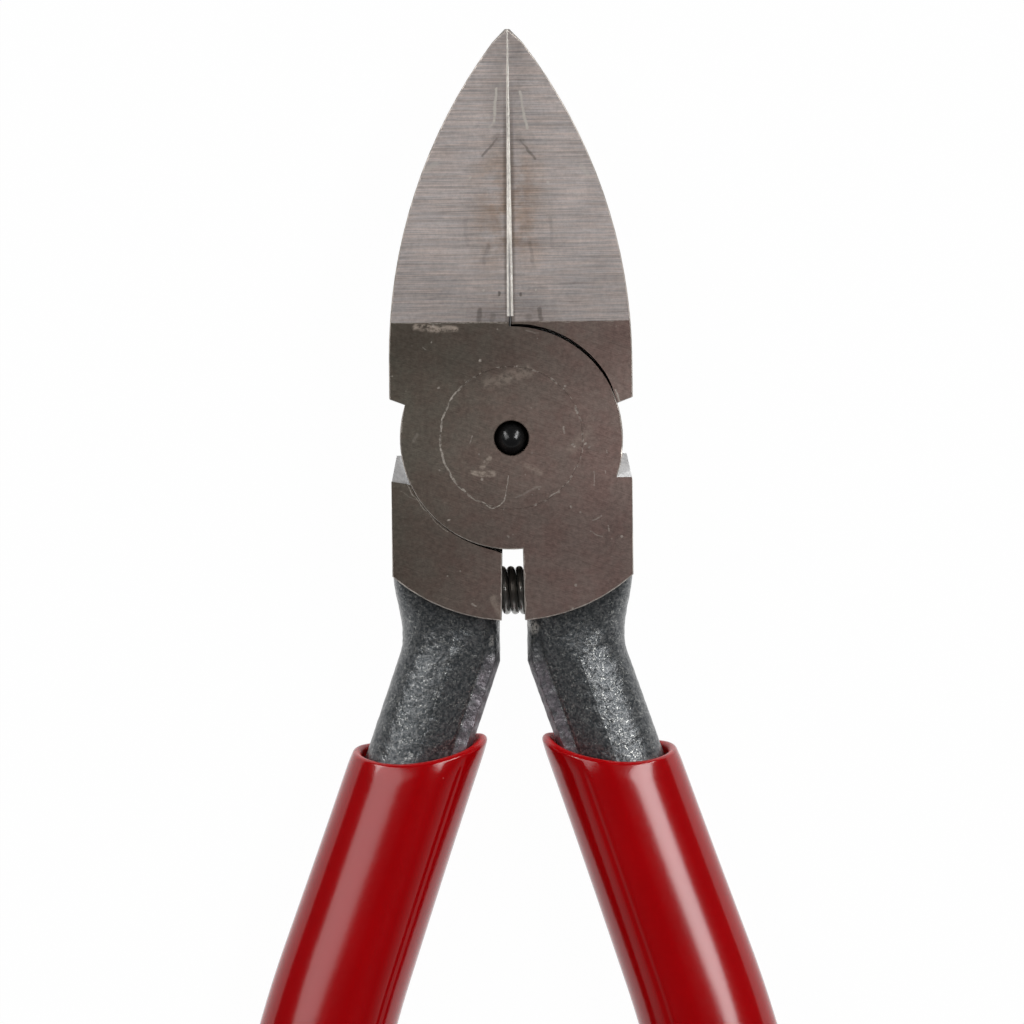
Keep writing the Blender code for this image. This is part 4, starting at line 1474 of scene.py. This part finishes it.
@dataclass(frozen=True)
class Tang:
    """The forged handle bar of a lever, from inside its head to the sleeve's round end.

    Its section is boxy at the head. Below, it is a rounded back beside a flat strip along the
    inner side, where the flash of the forging was trimmed off to a steep facet.
    """

    side: Side
    half: Half
    name: str
    section: Section = Section(
        0.0, 2.4, 0.20, 1.2, ((-0.615, 0.60), (-0.645, 0.545), (-0.90, 0.50), (-1.0, 0.28)), 1.0,
    )
    root_outer: float = 4.74
    root_inner: float = 4.22
    root_half_thickness: float = 4.75
    root_squareness: float = 7.0
    root_length: float = 1.5
    neck_length: float = 6.6
    strip_start: float = 5.6
    strip_full: float = 9.4
    plain_squareness: float = 2.3
    bar_outer: float = 4.03
    bar_inner: float = 4.10
    bar_half_thickness: float = 3.80
    end_gap: float = 1.2
    end_round: float = 5.0
    forge_relief: float = 0.010
    forge_waves: int = 36
    forge_lengths: Span = (0.8, 2.4)
    forge_turns: int = 18
    forge_start: float = 1.5
    forge_fade: float = 2.5
    forge_seed: int = 7
    columns: int = 200
    neck_reach: float = 12.0
    neck_rows: int = 160
    bar_rows: int = 50
    dome_rows: int = 10

    def reach(self, angle: np.ndarray, s: np.ndarray) -> np.ndarray:
        """How far the section reaches: from the box to a plain round bar, and then to the trimmed bar.

        Args:
            angle: Angles from the outer side, round by the front.
            s: Distances along the handle line.

        Returns:
            The reach, in half-widths.
        """
        squareness = lerp(self.root_squareness, self.plain_squareness, self.ease(s))
        plain = polar_superellipse(angle, squareness)
        trimmed = smooth((s - self.strip_start) / (self.strip_full - self.strip_start))
        return lerp(plain, self.section.reach(angle), trimmed)

    def forged(self, angle: np.ndarray, s: np.ndarray) -> np.ndarray:
        """The uneven skin left by the dies: r sqrt(2 / n) sum of sin(k s + m a + p), from 0 at the head.

        Each of the n waves has its own length, turns round the bar and start, drawn by a seed.

        Args:
            angle: Angles from the outer side, round by the front.
            s: Distances along the handle line.

        Returns:
            The height, in millimetres.
        """
        draw = np.random.default_rng(self.forge_seed + self.side)
        pitch = 2 * np.pi / draw.uniform(*self.forge_lengths, self.forge_waves)
        turns = draw.integers(-self.forge_turns, self.forge_turns + 1, self.forge_waves)
        phase = draw.uniform(0, 2 * np.pi, self.forge_waves)
        waves = np.sin(s[..., None] * pitch + angle[..., None] * turns + phase).sum(axis=-1)
        grown = smooth((s - self.forge_start) / self.forge_fade)
        return self.forge_relief * math.sqrt(2 / self.forge_waves) * waves * grown

    def ease(self, s: np.ndarray) -> np.ndarray:
        """0 at the head and 1 where the bar has its own width."""
        return smooth((s - self.root_length) / (self.neck_length - self.root_length))

    def build(self, finishes: Finishes) -> None:
        """Carries the section along the handle line.

        The kink of the inner side comes from (R + w) / cos(min(h, splay - h)) - R in the bend: two
        straight lines in place of the arc.

        Args:
            finishes: The materials.
        """
        angle = np.linspace(0, 2 * np.pi, self.columns, endpoint=False)[None, :]
        dome_start = LINE.length - self.end_round
        tip = self.end_round - self.end_gap
        neck = np.linspace(0, LINE.straight_start + self.neck_reach, self.neck_rows)
        bar = np.linspace(neck[-1], dome_start, self.bar_rows)[1:]
        dome = dome_start + tip * np.sin(np.linspace(0, np.pi / 2, self.dome_rows + 1)[1:])
        s = np.concatenate((neck, bar, dome))[:, None]
        draw = np.sqrt(np.maximum(0, 1 - (np.maximum(0, s - dome_start) / tip) ** 2))
        heading = LINE.at(s)[2]
        in_bend = np.where(s < LINE.straight_start, np.minimum(heading, LINE.splay - heading), 0)
        kinked = (LINE.bend_radius + self.bar_inner) / np.cos(in_bend) - LINE.bend_radius
        outer = lerp(self.root_outer, self.bar_outer, self.ease(s))
        inner = lerp(self.root_inner, kinked, self.ease(s))
        thick = lerp(self.root_half_thickness, self.bar_half_thickness, self.ease(s))
        reach = (self.reach(angle, s) + self.forged(angle, s) / self.bar_outer) * draw
        across = reach * np.cos(angle)
        across = across * np.where(across > 0, outer, inner)
        points = LINE.place(s + 0 * angle, across, reach * np.sin(angle) * thick, self.side)
        piece = skin(self.name, points, sharp=25)
        dress(piece, finishes.scale)
        seat(piece, self.half)


# Lever heads


class Surface(IntEnum):
    """The finished surfaces of a lever's head, in the order of its materials."""

    WALL = 0
    HEAD = 1
    BLADE = 2
    LAND = 3
    LAP = 4
    EDGE = 5


def read_vectors(items: bpy.types.bpy_prop_collection, name: str) -> np.ndarray:
    """Reads one vector of each item.

    Args:
        items: The points, edges or faces of a mesh.
        name: The vector's name.

    Returns:
        Rows of 3.
    """
    values = np.empty(len(items) * 3)
    items.foreach_get(name, values)
    return values.reshape(-1, 3)


def between(values: np.ndarray, low: float, high: float) -> np.ndarray:
    """Where values lie between two limits."""
    return (values > low) & (values < high)


@dataclass(frozen=True)
class LeverHead:
    """A lever's jaw, half-thickness disc and ground foot, taken from its solid.

    The handle is cut off at the foot's arc, the running gaps are closed to the hairlines that the
    tool shows, and the edges get a small worn round.
    """

    node: str
    half: Half
    jaw_side: Side
    recess_in_front: bool
    foot_radius: float = 15.24
    keep_turn: Span = (-np.pi * 0.95, -np.pi * 0.05)
    keep_steps: int = 121
    keep_width: float = 60.0
    keep_heights: Span = (-20.0, 30.0)
    solid_flatness: float = 0.02
    solid_weld: float = 0.002
    head_flatness: float = 0.2
    head_weld: float = 0.02
    disc_radius: float = 9.30
    jaw_wall_radius: float = 9.60
    tang_wall_radius: float = 9.45
    recess_overlap: float = 0.5
    wall_slack: float = 0.03
    jaw_gap: tuple[Span, ...] = (
        (14, 0.02), (23, 0.04), (27, 0.15), (34, 0.23), (45, 0.27), (58, 0.29), (70, 0.29), (82, 0.26),
        (90, 0.18),
    )
    tang_gap: tuple[Span, ...] = (
        (-158, 0.02), (-128, 0.03), (-114, 0.07), (-105, 0.13), (-99, 0.20), (-95, 0.36),
    )
    blade_start: float = 9.7
    edge_start: float = 9.2
    edge_gap: float = 0.05
    edge_slack: float = 0.01
    closed_gap: float = 0.005
    heel_gap: float = 0.12
    heel_end: float = 10.3
    face_slack: float = 0.05
    tip_columns: Span = (0.15, 0.3)
    tip_start: float = 33.9
    tip_floor: float = 9.3
    tip_land: float = 0.20
    land_width: float = 0.5
    land_levels: Span = (0.3, 0.95)
    flat_level: float = 0.98
    flat_slack: float = 0.1
    sharp_angle: float = 32.0
    cutting_width: float = 0.4
    land_depth: float = 0.6
    recess_radii: Span = (9.305, 9.65)
    cover_radius: float = 9.45
    cover_start: float = 3.9
    stop_start: float = 8.7
    stop_rows: Span = (2.7, 4.1)
    hole_radius: float = PIVOT_RADIUS + 0.2
    edge_round: float = 0.09
    edge_segments: int = 2
    flat_weight: int = 100

    def keep_shape(self) -> bpy.types.Object:
        """A tall prism round everything above the foot's arc.

        Returns:
            The prism as a new object.
        """
        turn = np.linspace(*self.keep_turn, self.keep_steps)
        arc = self.foot_radius * np.stack((np.cos(turn), np.sin(turn)), axis=-1)
        wide = self.keep_width
        corners = [(wide, arc[-1, 1]), (wide, wide), (-wide, wide), (-wide, arc[0, 1])]
        outline = np.concatenate((arc, corners))
        rows = [np.insert(outline, 2, z, axis=1) for z in self.keep_heights]
        return skin(self.node + "_keep", np.stack(rows))

    def cut(self) -> bpy.types.Object:
        """Copies the solid's mesh, merges its triangles and keeps the head.

        Returns:
            The head as a new object.
        """
        solid = add_object(self.node + "_copy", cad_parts[self.node].data.copy())
        for stored in [layer for layer in solid.data.attributes if layer.name == "custom_normal"]:
            solid.data.attributes.remove(stored)
        self.clean(solid.data, self.solid_flatness, self.solid_weld)
        keep = self.keep_shape()
        trim = solid.modifiers.new("foot", "BOOLEAN")
        trim.operation = "INTERSECT"
        trim.solver = "EXACT"
        trim.object = keep
        graph = bpy.context.evaluated_depsgraph_get()
        mesh = bpy.data.meshes.new_from_object(solid.evaluated_get(graph))
        for used in (solid, keep):
            bpy.data.objects.remove(used, do_unlink=True)
        self.clean(mesh, self.head_flatness, self.head_weld)
        return add_object(self.node + "_head", mesh)

    @staticmethod
    def clean(mesh: bpy.types.Mesh, flatness: float, apart: float) -> None:
        """Merges points that are close together and dissolves the edges inside flat faces.

        Args:
            mesh: The mesh, in metres.
            flatness: Edges that turn by less than this go, in degrees.
            apart: Points that are less than this apart merge, in millimetres.
        """
        shell = bmesh.new()
        shell.from_mesh(mesh)
        bmesh.ops.remove_doubles(shell, verts=shell.verts, dist=apart * MM)
        limit = math.radians(flatness)
        bmesh.ops.dissolve_limit(shell, angle_limit=limit, verts=shell.verts, edges=shell.edges)
        shell.to_mesh(mesh)
        shell.free()

    def in_recess(self, z: np.ndarray) -> np.ndarray:
        """Where the height is that of the other lever's disc, or a little past the middle."""
        over = self.recess_overlap
        return z > MIDDLE_Z - over if self.recess_in_front else z < MIDDLE_Z + over

    def close_gaps(self, mesh: bpy.types.Mesh) -> None:
        """Moves the recess walls to the gaps that show, and brings the cutting edges together.

        A wall's gap is read from a table of (bearing in degrees, gap), where bearings are measured
        with the jaw on +X. The edges meet but for a hair, and part to a slit at the front of the heel.

        Args:
            mesh: The head's mesh, in metres.
        """
        points = read_vectors(mesh.vertices, "co") / MM
        x, y, z = points.T.copy()
        radius = np.hypot(x, y)
        bearing = np.degrees(np.arctan2(y, x * self.jaw_side))
        walls = ((self.jaw_wall_radius, self.jaw_gap), (self.tang_wall_radius, self.tang_gap))
        for wall_radius, table in walls:
            bearings, gaps = np.array(table).T
            on_wall = self.in_recess(z) & (np.abs(radius - wall_radius) < self.wall_slack)
            on_wall &= between(bearing, bearings[0], bearings[-1])
            wanted = self.disc_radius + np.interp(bearing, bearings, gaps)
            points[on_wall, :2] *= (wanted / radius)[on_wall, None]
        on_edge = (np.abs(np.abs(x) - self.edge_gap) < self.edge_slack) & (y > self.edge_start)
        heel_face = on_edge & (z > HEAD_THICKNESS - self.face_slack) & (y < self.heel_end)
        points[on_edge, 0] = np.sign(x[on_edge]) * self.closed_gap
        points[heel_face, 0] = np.sign(x[heel_face]) * self.heel_gap
        tip = between(np.abs(x), *self.tip_columns) & (y > self.tip_start) & (z > self.tip_floor)
        points[tip, 0] *= self.tip_land
        mesh.vertices.foreach_set("co", (points * MM).ravel())
        mesh.update()

    def mark_surfaces(self, mesh: bpy.types.Mesh) -> None:
        """Gives each face the surface that its place and direction call for.

        Args:
            mesh: The head's mesh, in metres.
        """
        x, y, z = read_vectors(mesh.polygons, "center").T / MM
        level = read_vectors(mesh.polygons, "normal")[:, 2]
        on_blade = y > self.blade_start
        lying = np.abs(level) > self.land_levels[0]
        outermost = np.abs(z - MIDDLE_Z) > MIDDLE_Z - self.flat_slack
        chosen = np.select(
            [
                on_blade & (np.abs(x) < self.land_width) & between(level, *self.land_levels),
                on_blade & lying,
                outermost & (np.abs(level) > self.flat_level),
                lying,
            ],
            [Surface.LAND, Surface.BLADE, Surface.HEAD, Surface.LAP],
            Surface.WALL,
        )
        mesh.polygons.foreach_set("material_index", chosen.astype(np.int32))

    def mark_edges(self, mesh: bpy.types.Mesh) -> None:
        """Picks the edges to round: the sharp rims of the front and rear faces.

        The cutting edges stay sharp, and so do the rims of the recess, of the stops, of the rivet's hole
        and of the disc's quarter beside the other lever's jaw.

        Args:
            mesh: The head's mesh, in metres.
        """
        mesh.shade_smooth()
        mesh.set_sharp_from_angle(angle=math.radians(self.sharp_angle))
        ends = np.empty(len(mesh.edges) * 2, np.int32)
        mesh.edges.foreach_get("vertices", ends)
        x, y, z = read_vectors(mesh.vertices, "co")[ends].reshape(-1, 2, 3).mean(axis=1).T / MM
        sharp = np.empty(len(mesh.edges), bool)
        mesh.attributes["sharp_edge"].data.foreach_get("value", sharp)
        radius = np.hypot(x, y)
        outermost = np.abs(z - MIDDLE_Z) > MIDDLE_Z - self.face_slack
        on_land = (z > HEAD_THICKNESS - self.land_depth) & (y > self.blade_start)
        cutting = (np.abs(x) < self.cutting_width) & (y > self.edge_start)
        wall = self.in_recess(z) & between(radius, *self.recess_radii)
        near_stop = (np.abs(x) > self.stop_start) & between(np.abs(y), *self.stop_rows)
        stop = near_stop & (radius > self.cover_radius)
        beside_jaw = (y > self.cover_start) & ((x < 0) == self.recess_in_front)
        covered = beside_jaw & (radius < self.cover_radius)
        rounded = sharp & (outermost | on_land) & (radius > self.hole_radius)
        rounded &= ~(cutting | wall | stop | covered)
        weights = mesh.attributes.new("bevel_weight_edge", "FLOAT", "EDGE")
        weights.data.foreach_set("value", rounded.astype(np.float32))

    def build(self, finishes: Finishes) -> None:
        """Makes and dresses the head.

        Args:
            finishes: The materials.
        """
        head = self.cut()
        self.close_gaps(head.data)
        head.data.materials.clear()
        for surface in Surface:
            head.data.materials.append(getattr(finishes, surface.name.lower()))
        self.mark_surfaces(head.data)
        self.mark_edges(head.data)
        bevel = head.modifiers.new("edge_round", "BEVEL")
        bevel.width = self.edge_round * MM
        bevel.segments = self.edge_segments
        bevel.limit_method = "WEIGHT"
        bevel.use_clamp_overlap = False
        bevel.material = Surface.EDGE
        flat = head.modifiers.new("flat_faces", "WEIGHTED_NORMAL")
        flat.weight = self.flat_weight
        flat.keep_sharp = True
        seat(head, self.half, self.node)


# Pivot and spring


@dataclass(frozen=True)
class Pivot:
    """The flush rivet with its conical heads, and the black ball pressed into its front end."""

    head_radius: float = PIVOT_RADIUS
    shank_radius: float = 3.60
    cone_depth: float = 1.70
    rim: float = 0.35
    hole_radius: float = 1.45
    hole_chamfer: float = 0.06
    hole_depth: float = 3.0
    ball_radius: float = 1.42
    ball_sink: float = 0.06
    edge: float = 0.02
    rivet_steps: int = 128
    ball_steps: int = 64
    ball_rows: int = 49

    def build_rivet(self, finishes: Finishes) -> None:
        """Turns the rivet's profile, from the hole's floor over both heads.

        Args:
            finishes: The materials.
        """
        top = HEAD_THICKNESS
        upper = [
            (self.head_radius - self.edge, top),
            (self.head_radius, top - self.edge),
            (self.head_radius, top - self.rim),
            (self.shank_radius, top - self.cone_depth),
        ]
        lower = [(r, top - z) for r, z in reversed(upper)]
        hole = [
            (0.0, top - self.hole_depth),
            (self.hole_radius, top - self.hole_depth),
            (self.hole_radius, top - self.hole_chamfer),
            (self.hole_radius + self.hole_chamfer, top),
        ]
        piece = turned("pivot_rivet_flush", hole + upper + lower + [(0.0, 0.0)], self.rivet_steps)
        dress(piece, finishes.head)
        seat(piece, Half.FRONT, "pivot_rivet")

    def build_ball(self, finishes: Finishes) -> None:
        """Turns a half circle of the ball's radius, a hair below the rivet's face.

        Args:
            finishes: The materials.
        """
        middle = HEAD_THICKNESS - self.ball_sink - self.ball_radius
        rise = np.linspace(np.pi / 2, -np.pi / 2, self.ball_rows)
        circle = self.ball_radius * np.stack((np.cos(rise), np.sin(rise)), axis=-1)
        piece = turned("pivot_ball_black", (circle + (0, middle)).tolist(), self.ball_steps)
        dress(piece, finishes.ball)
        seat(piece, Half.FRONT, "pivot_ball")


@dataclass(frozen=True)
class ReturnSpring:
    """The coil across the slot: a helix about X, whose ends lie in the pockets of the two tangs."""

    y: float = -12.7
    outer_radius: float = 2.04
    wire_radius: float = 0.33
    reach: float = 4.9
    pitch: float = 0.70
    points_per_turn: int = 40
    wire_sides: int = 14

    def build(self, finishes: Finishes) -> None:
        """Carries a circle along (p a / 2 pi, -r sin a, r cos a), square to the helix.

        Args:
            finishes: The materials.
        """
        turns = 2 * self.reach / self.pitch
        coil = self.outer_radius - self.wire_radius
        a = np.linspace(0, 2 * np.pi * turns, round(turns * self.points_per_turn))[:, None]
        rise = self.pitch / (2 * np.pi)
        slope = math.hypot(coil, rise)
        outward = np.stack((0 * a, -np.sin(a), np.cos(a)), axis=-1)
        axis = np.stack((rise * a - self.reach, self.y + 0 * a, MIDDLE_Z + 0 * a), axis=-1)
        beside = np.stack((coil + 0 * a, rise * np.cos(a), rise * np.sin(a)), axis=-1) / slope
        b = np.linspace(0, 2 * np.pi, self.wire_sides, endpoint=False)[None, :, None]
        points = axis + coil * outward + self.wire_radius * (outward * np.cos(b) + beside * np.sin(b))
        piece = skin("return_spring_coil", points, sharp=50)
        dress(piece, finishes.wire)
        start = np.array((self.reach, self.y, MIDDLE_Z)) * MM
        end = np.array((-self.reach, self.y, MIDDLE_Z)) * MM
        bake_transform(piece, Half.FRONT.value, Half.REAR.value, start=tuple(start), end=tuple(end))
        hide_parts("return_spring")
        log.info("%s bends between the halves", piece.name)


# Studio


@dataclass(frozen=True)
class StripLight:
    """A level strip of soft light over the tool, from its near end to its far end.

    Places and the width are in multiples of its height over the floor.
    """

    name: str
    near: Span
    far: Span
    width: float
    radiance: float
    height: float = 0.6

    def build(self) -> None:
        """Makes the lamp. A lamp of radiance L and area A has a power of pi L A."""
        near = np.array(self.near) * self.height
        far = np.array(self.far) * self.height
        lamp = bpy.data.lights.new(self.name, "AREA")
        lamp.shape = "RECTANGLE"
        lamp.size = float(np.hypot(*(far - near)))
        lamp.size_y = self.width * self.height
        lamp.energy = math.pi * self.radiance * lamp.size * lamp.size_y
        made = add_object(self.name, lamp)
        made.location = (*(near + far) / 2, self.height)
        made.rotation_euler = (0, 0, math.atan2(*(far - near)[::-1]))


@dataclass(frozen=True)
class Studio:
    """The camera straight above the head, strips of soft light, a white floor and pale surroundings."""

    view_width: float = 85.33
    view_centre: tuple[float, float] = (-0.02, -6.17)
    view_roll: float = -0.62
    camera_height: float = 1500.0
    camera_reach: Span = (0.01, 20.0)
    floor_half_width: float = 900.0
    floor_drop: float = 0.02
    floor_glow: float = 0.985
    mirror_glow: float = 0.92
    paper_level: float = 0.80
    horizon_level: float = 0.07
    zenith_level: float = 0.04
    sky_rise: Span = (0.05, 0.60)
    near_level: float = 0.48
    near_turn: Span = (-0.05, -0.40)
    near_rise: Span = (0.70, 0.10)
    sensor_width: float = 36.0
    lights: tuple[StripLight, ...] = (
        StripLight("strip_left_near", (-0.56, -0.06), (-0.98, 0.58), 0.60, 2.9),
        StripLight("strip_left_far", (-0.98, 0.58), (-1.60, 1.45), 0.44, 8.6),
        StripLight("strip_right", (0.53, 0.00), (1.51, 1.61), 0.38, 9.2),
    )

    def build(self) -> None:
        """Makes the whole set."""
        self.camera()
        self.floor()
        self.world()
        for light in self.lights:
            light.build()
        bpy.context.scene.view_settings.view_transform = "Standard"

    def camera(self) -> None:
        """Looks straight down, so that the view is as wide as asked at the front face."""
        data = bpy.data.cameras.new("camera")
        data.sensor_width = self.sensor_width
        data.lens = self.sensor_width * (self.camera_height - HEAD_THICKNESS) / self.view_width
        data.clip_start, data.clip_end = self.camera_reach
        made = add_object("camera", data)
        made.location = Vector((*self.view_centre, self.camera_height)) * MM
        made.rotation_euler = (0, 0, math.radians(self.view_roll))
        bpy.context.scene.camera = made

    def floor(self) -> None:
        """A white sheet under the tool: it glows white to the camera and keeps a light shadow."""
        half = self.floor_half_width * MM
        mesh = bpy.data.meshes.new("floor")
        corners = [(-half, -half, 0), (half, -half, 0), (half, half, 0), (-half, half, 0)]
        mesh.from_pydata(corners, [], [(0, 1, 2, 3)])
        made = add_object("floor", mesh)
        made.location = (0, 0, -self.floor_drop * MM)
        material = bpy.data.materials.new("white_sheet")
        material.use_nodes = True
        graph = Graph(material.node_tree)
        material.node_tree.nodes.clear()
        kinds = ("Camera", "Transmission", "Glossy")
        seen, passed, mirrored = (graph.add("LightPath", output=f"Is {kind} Ray") for kind in kinds)
        share = (seen | passed) * self.floor_glow | mirrored * self.mirror_glow
        paper = graph.add("BsdfDiffuse", {"Color": (*(self.paper_level,) * 3, 1.0)})
        glow = graph.add("Emission", {"Color": WHITE, "Strength": 1.0})
        graph.node("OutputMaterial", {"Surface": graph.add("MixShader", {0: share, 1: paper, 2: glow})})
        mesh.materials.append(material)

    def world(self) -> None:
        """Pale all round the horizon, paler on the near side, and dimmer overhead."""
        world = bpy.data.worlds.new("surroundings")
        world.use_nodes = True
        graph = Graph(world.node_tree)
        _, away, up = graph.parts(graph.add("TexCoord", output="Generated"))
        level = up.step(*self.sky_rise).spread(self.horizon_level, self.zenith_level)
        near = away.step(*self.near_turn) * up.step(*self.near_rise)
        shader = world.node_tree.nodes["Background"]
        shader.inputs["Color"].default_value = WHITE
        graph.feed(shader.inputs["Strength"], level + near * self.near_level)
        bpy.context.scene.world = world


def main() -> None:
    """Builds the studio, then every piece of the tool."""
    logging.basicConfig(level=logging.INFO, format="%(name)s: %(message)s")
    Studio().build()
    finishes = Finishes()
    LeverHead("front_lever", Half.FRONT, Side.LEFT, recess_in_front=False).build(finishes)
    LeverHead("rear_lever", Half.REAR, Side.RIGHT, recess_in_front=True).build(finishes)
    Tang(Side.RIGHT, Half.FRONT, "front_lever_tang").build(finishes)
    Tang(Side.LEFT, Half.REAR, "rear_lever_tang").build(finishes)
    Grip(Side.RIGHT, Half.FRONT, "right_grip", ridge=-0.11, crease_angle=2.12).build(finishes)
    Grip(Side.LEFT, Half.REAR, "left_grip", ridge=-0.15, crease_angle=2.34).build(finishes)
    Pivot().build_rivet(finishes)
    Pivot().build_ball(finishes)
    ReturnSpring().build(finishes)


if __name__ == "__main__":
    main()
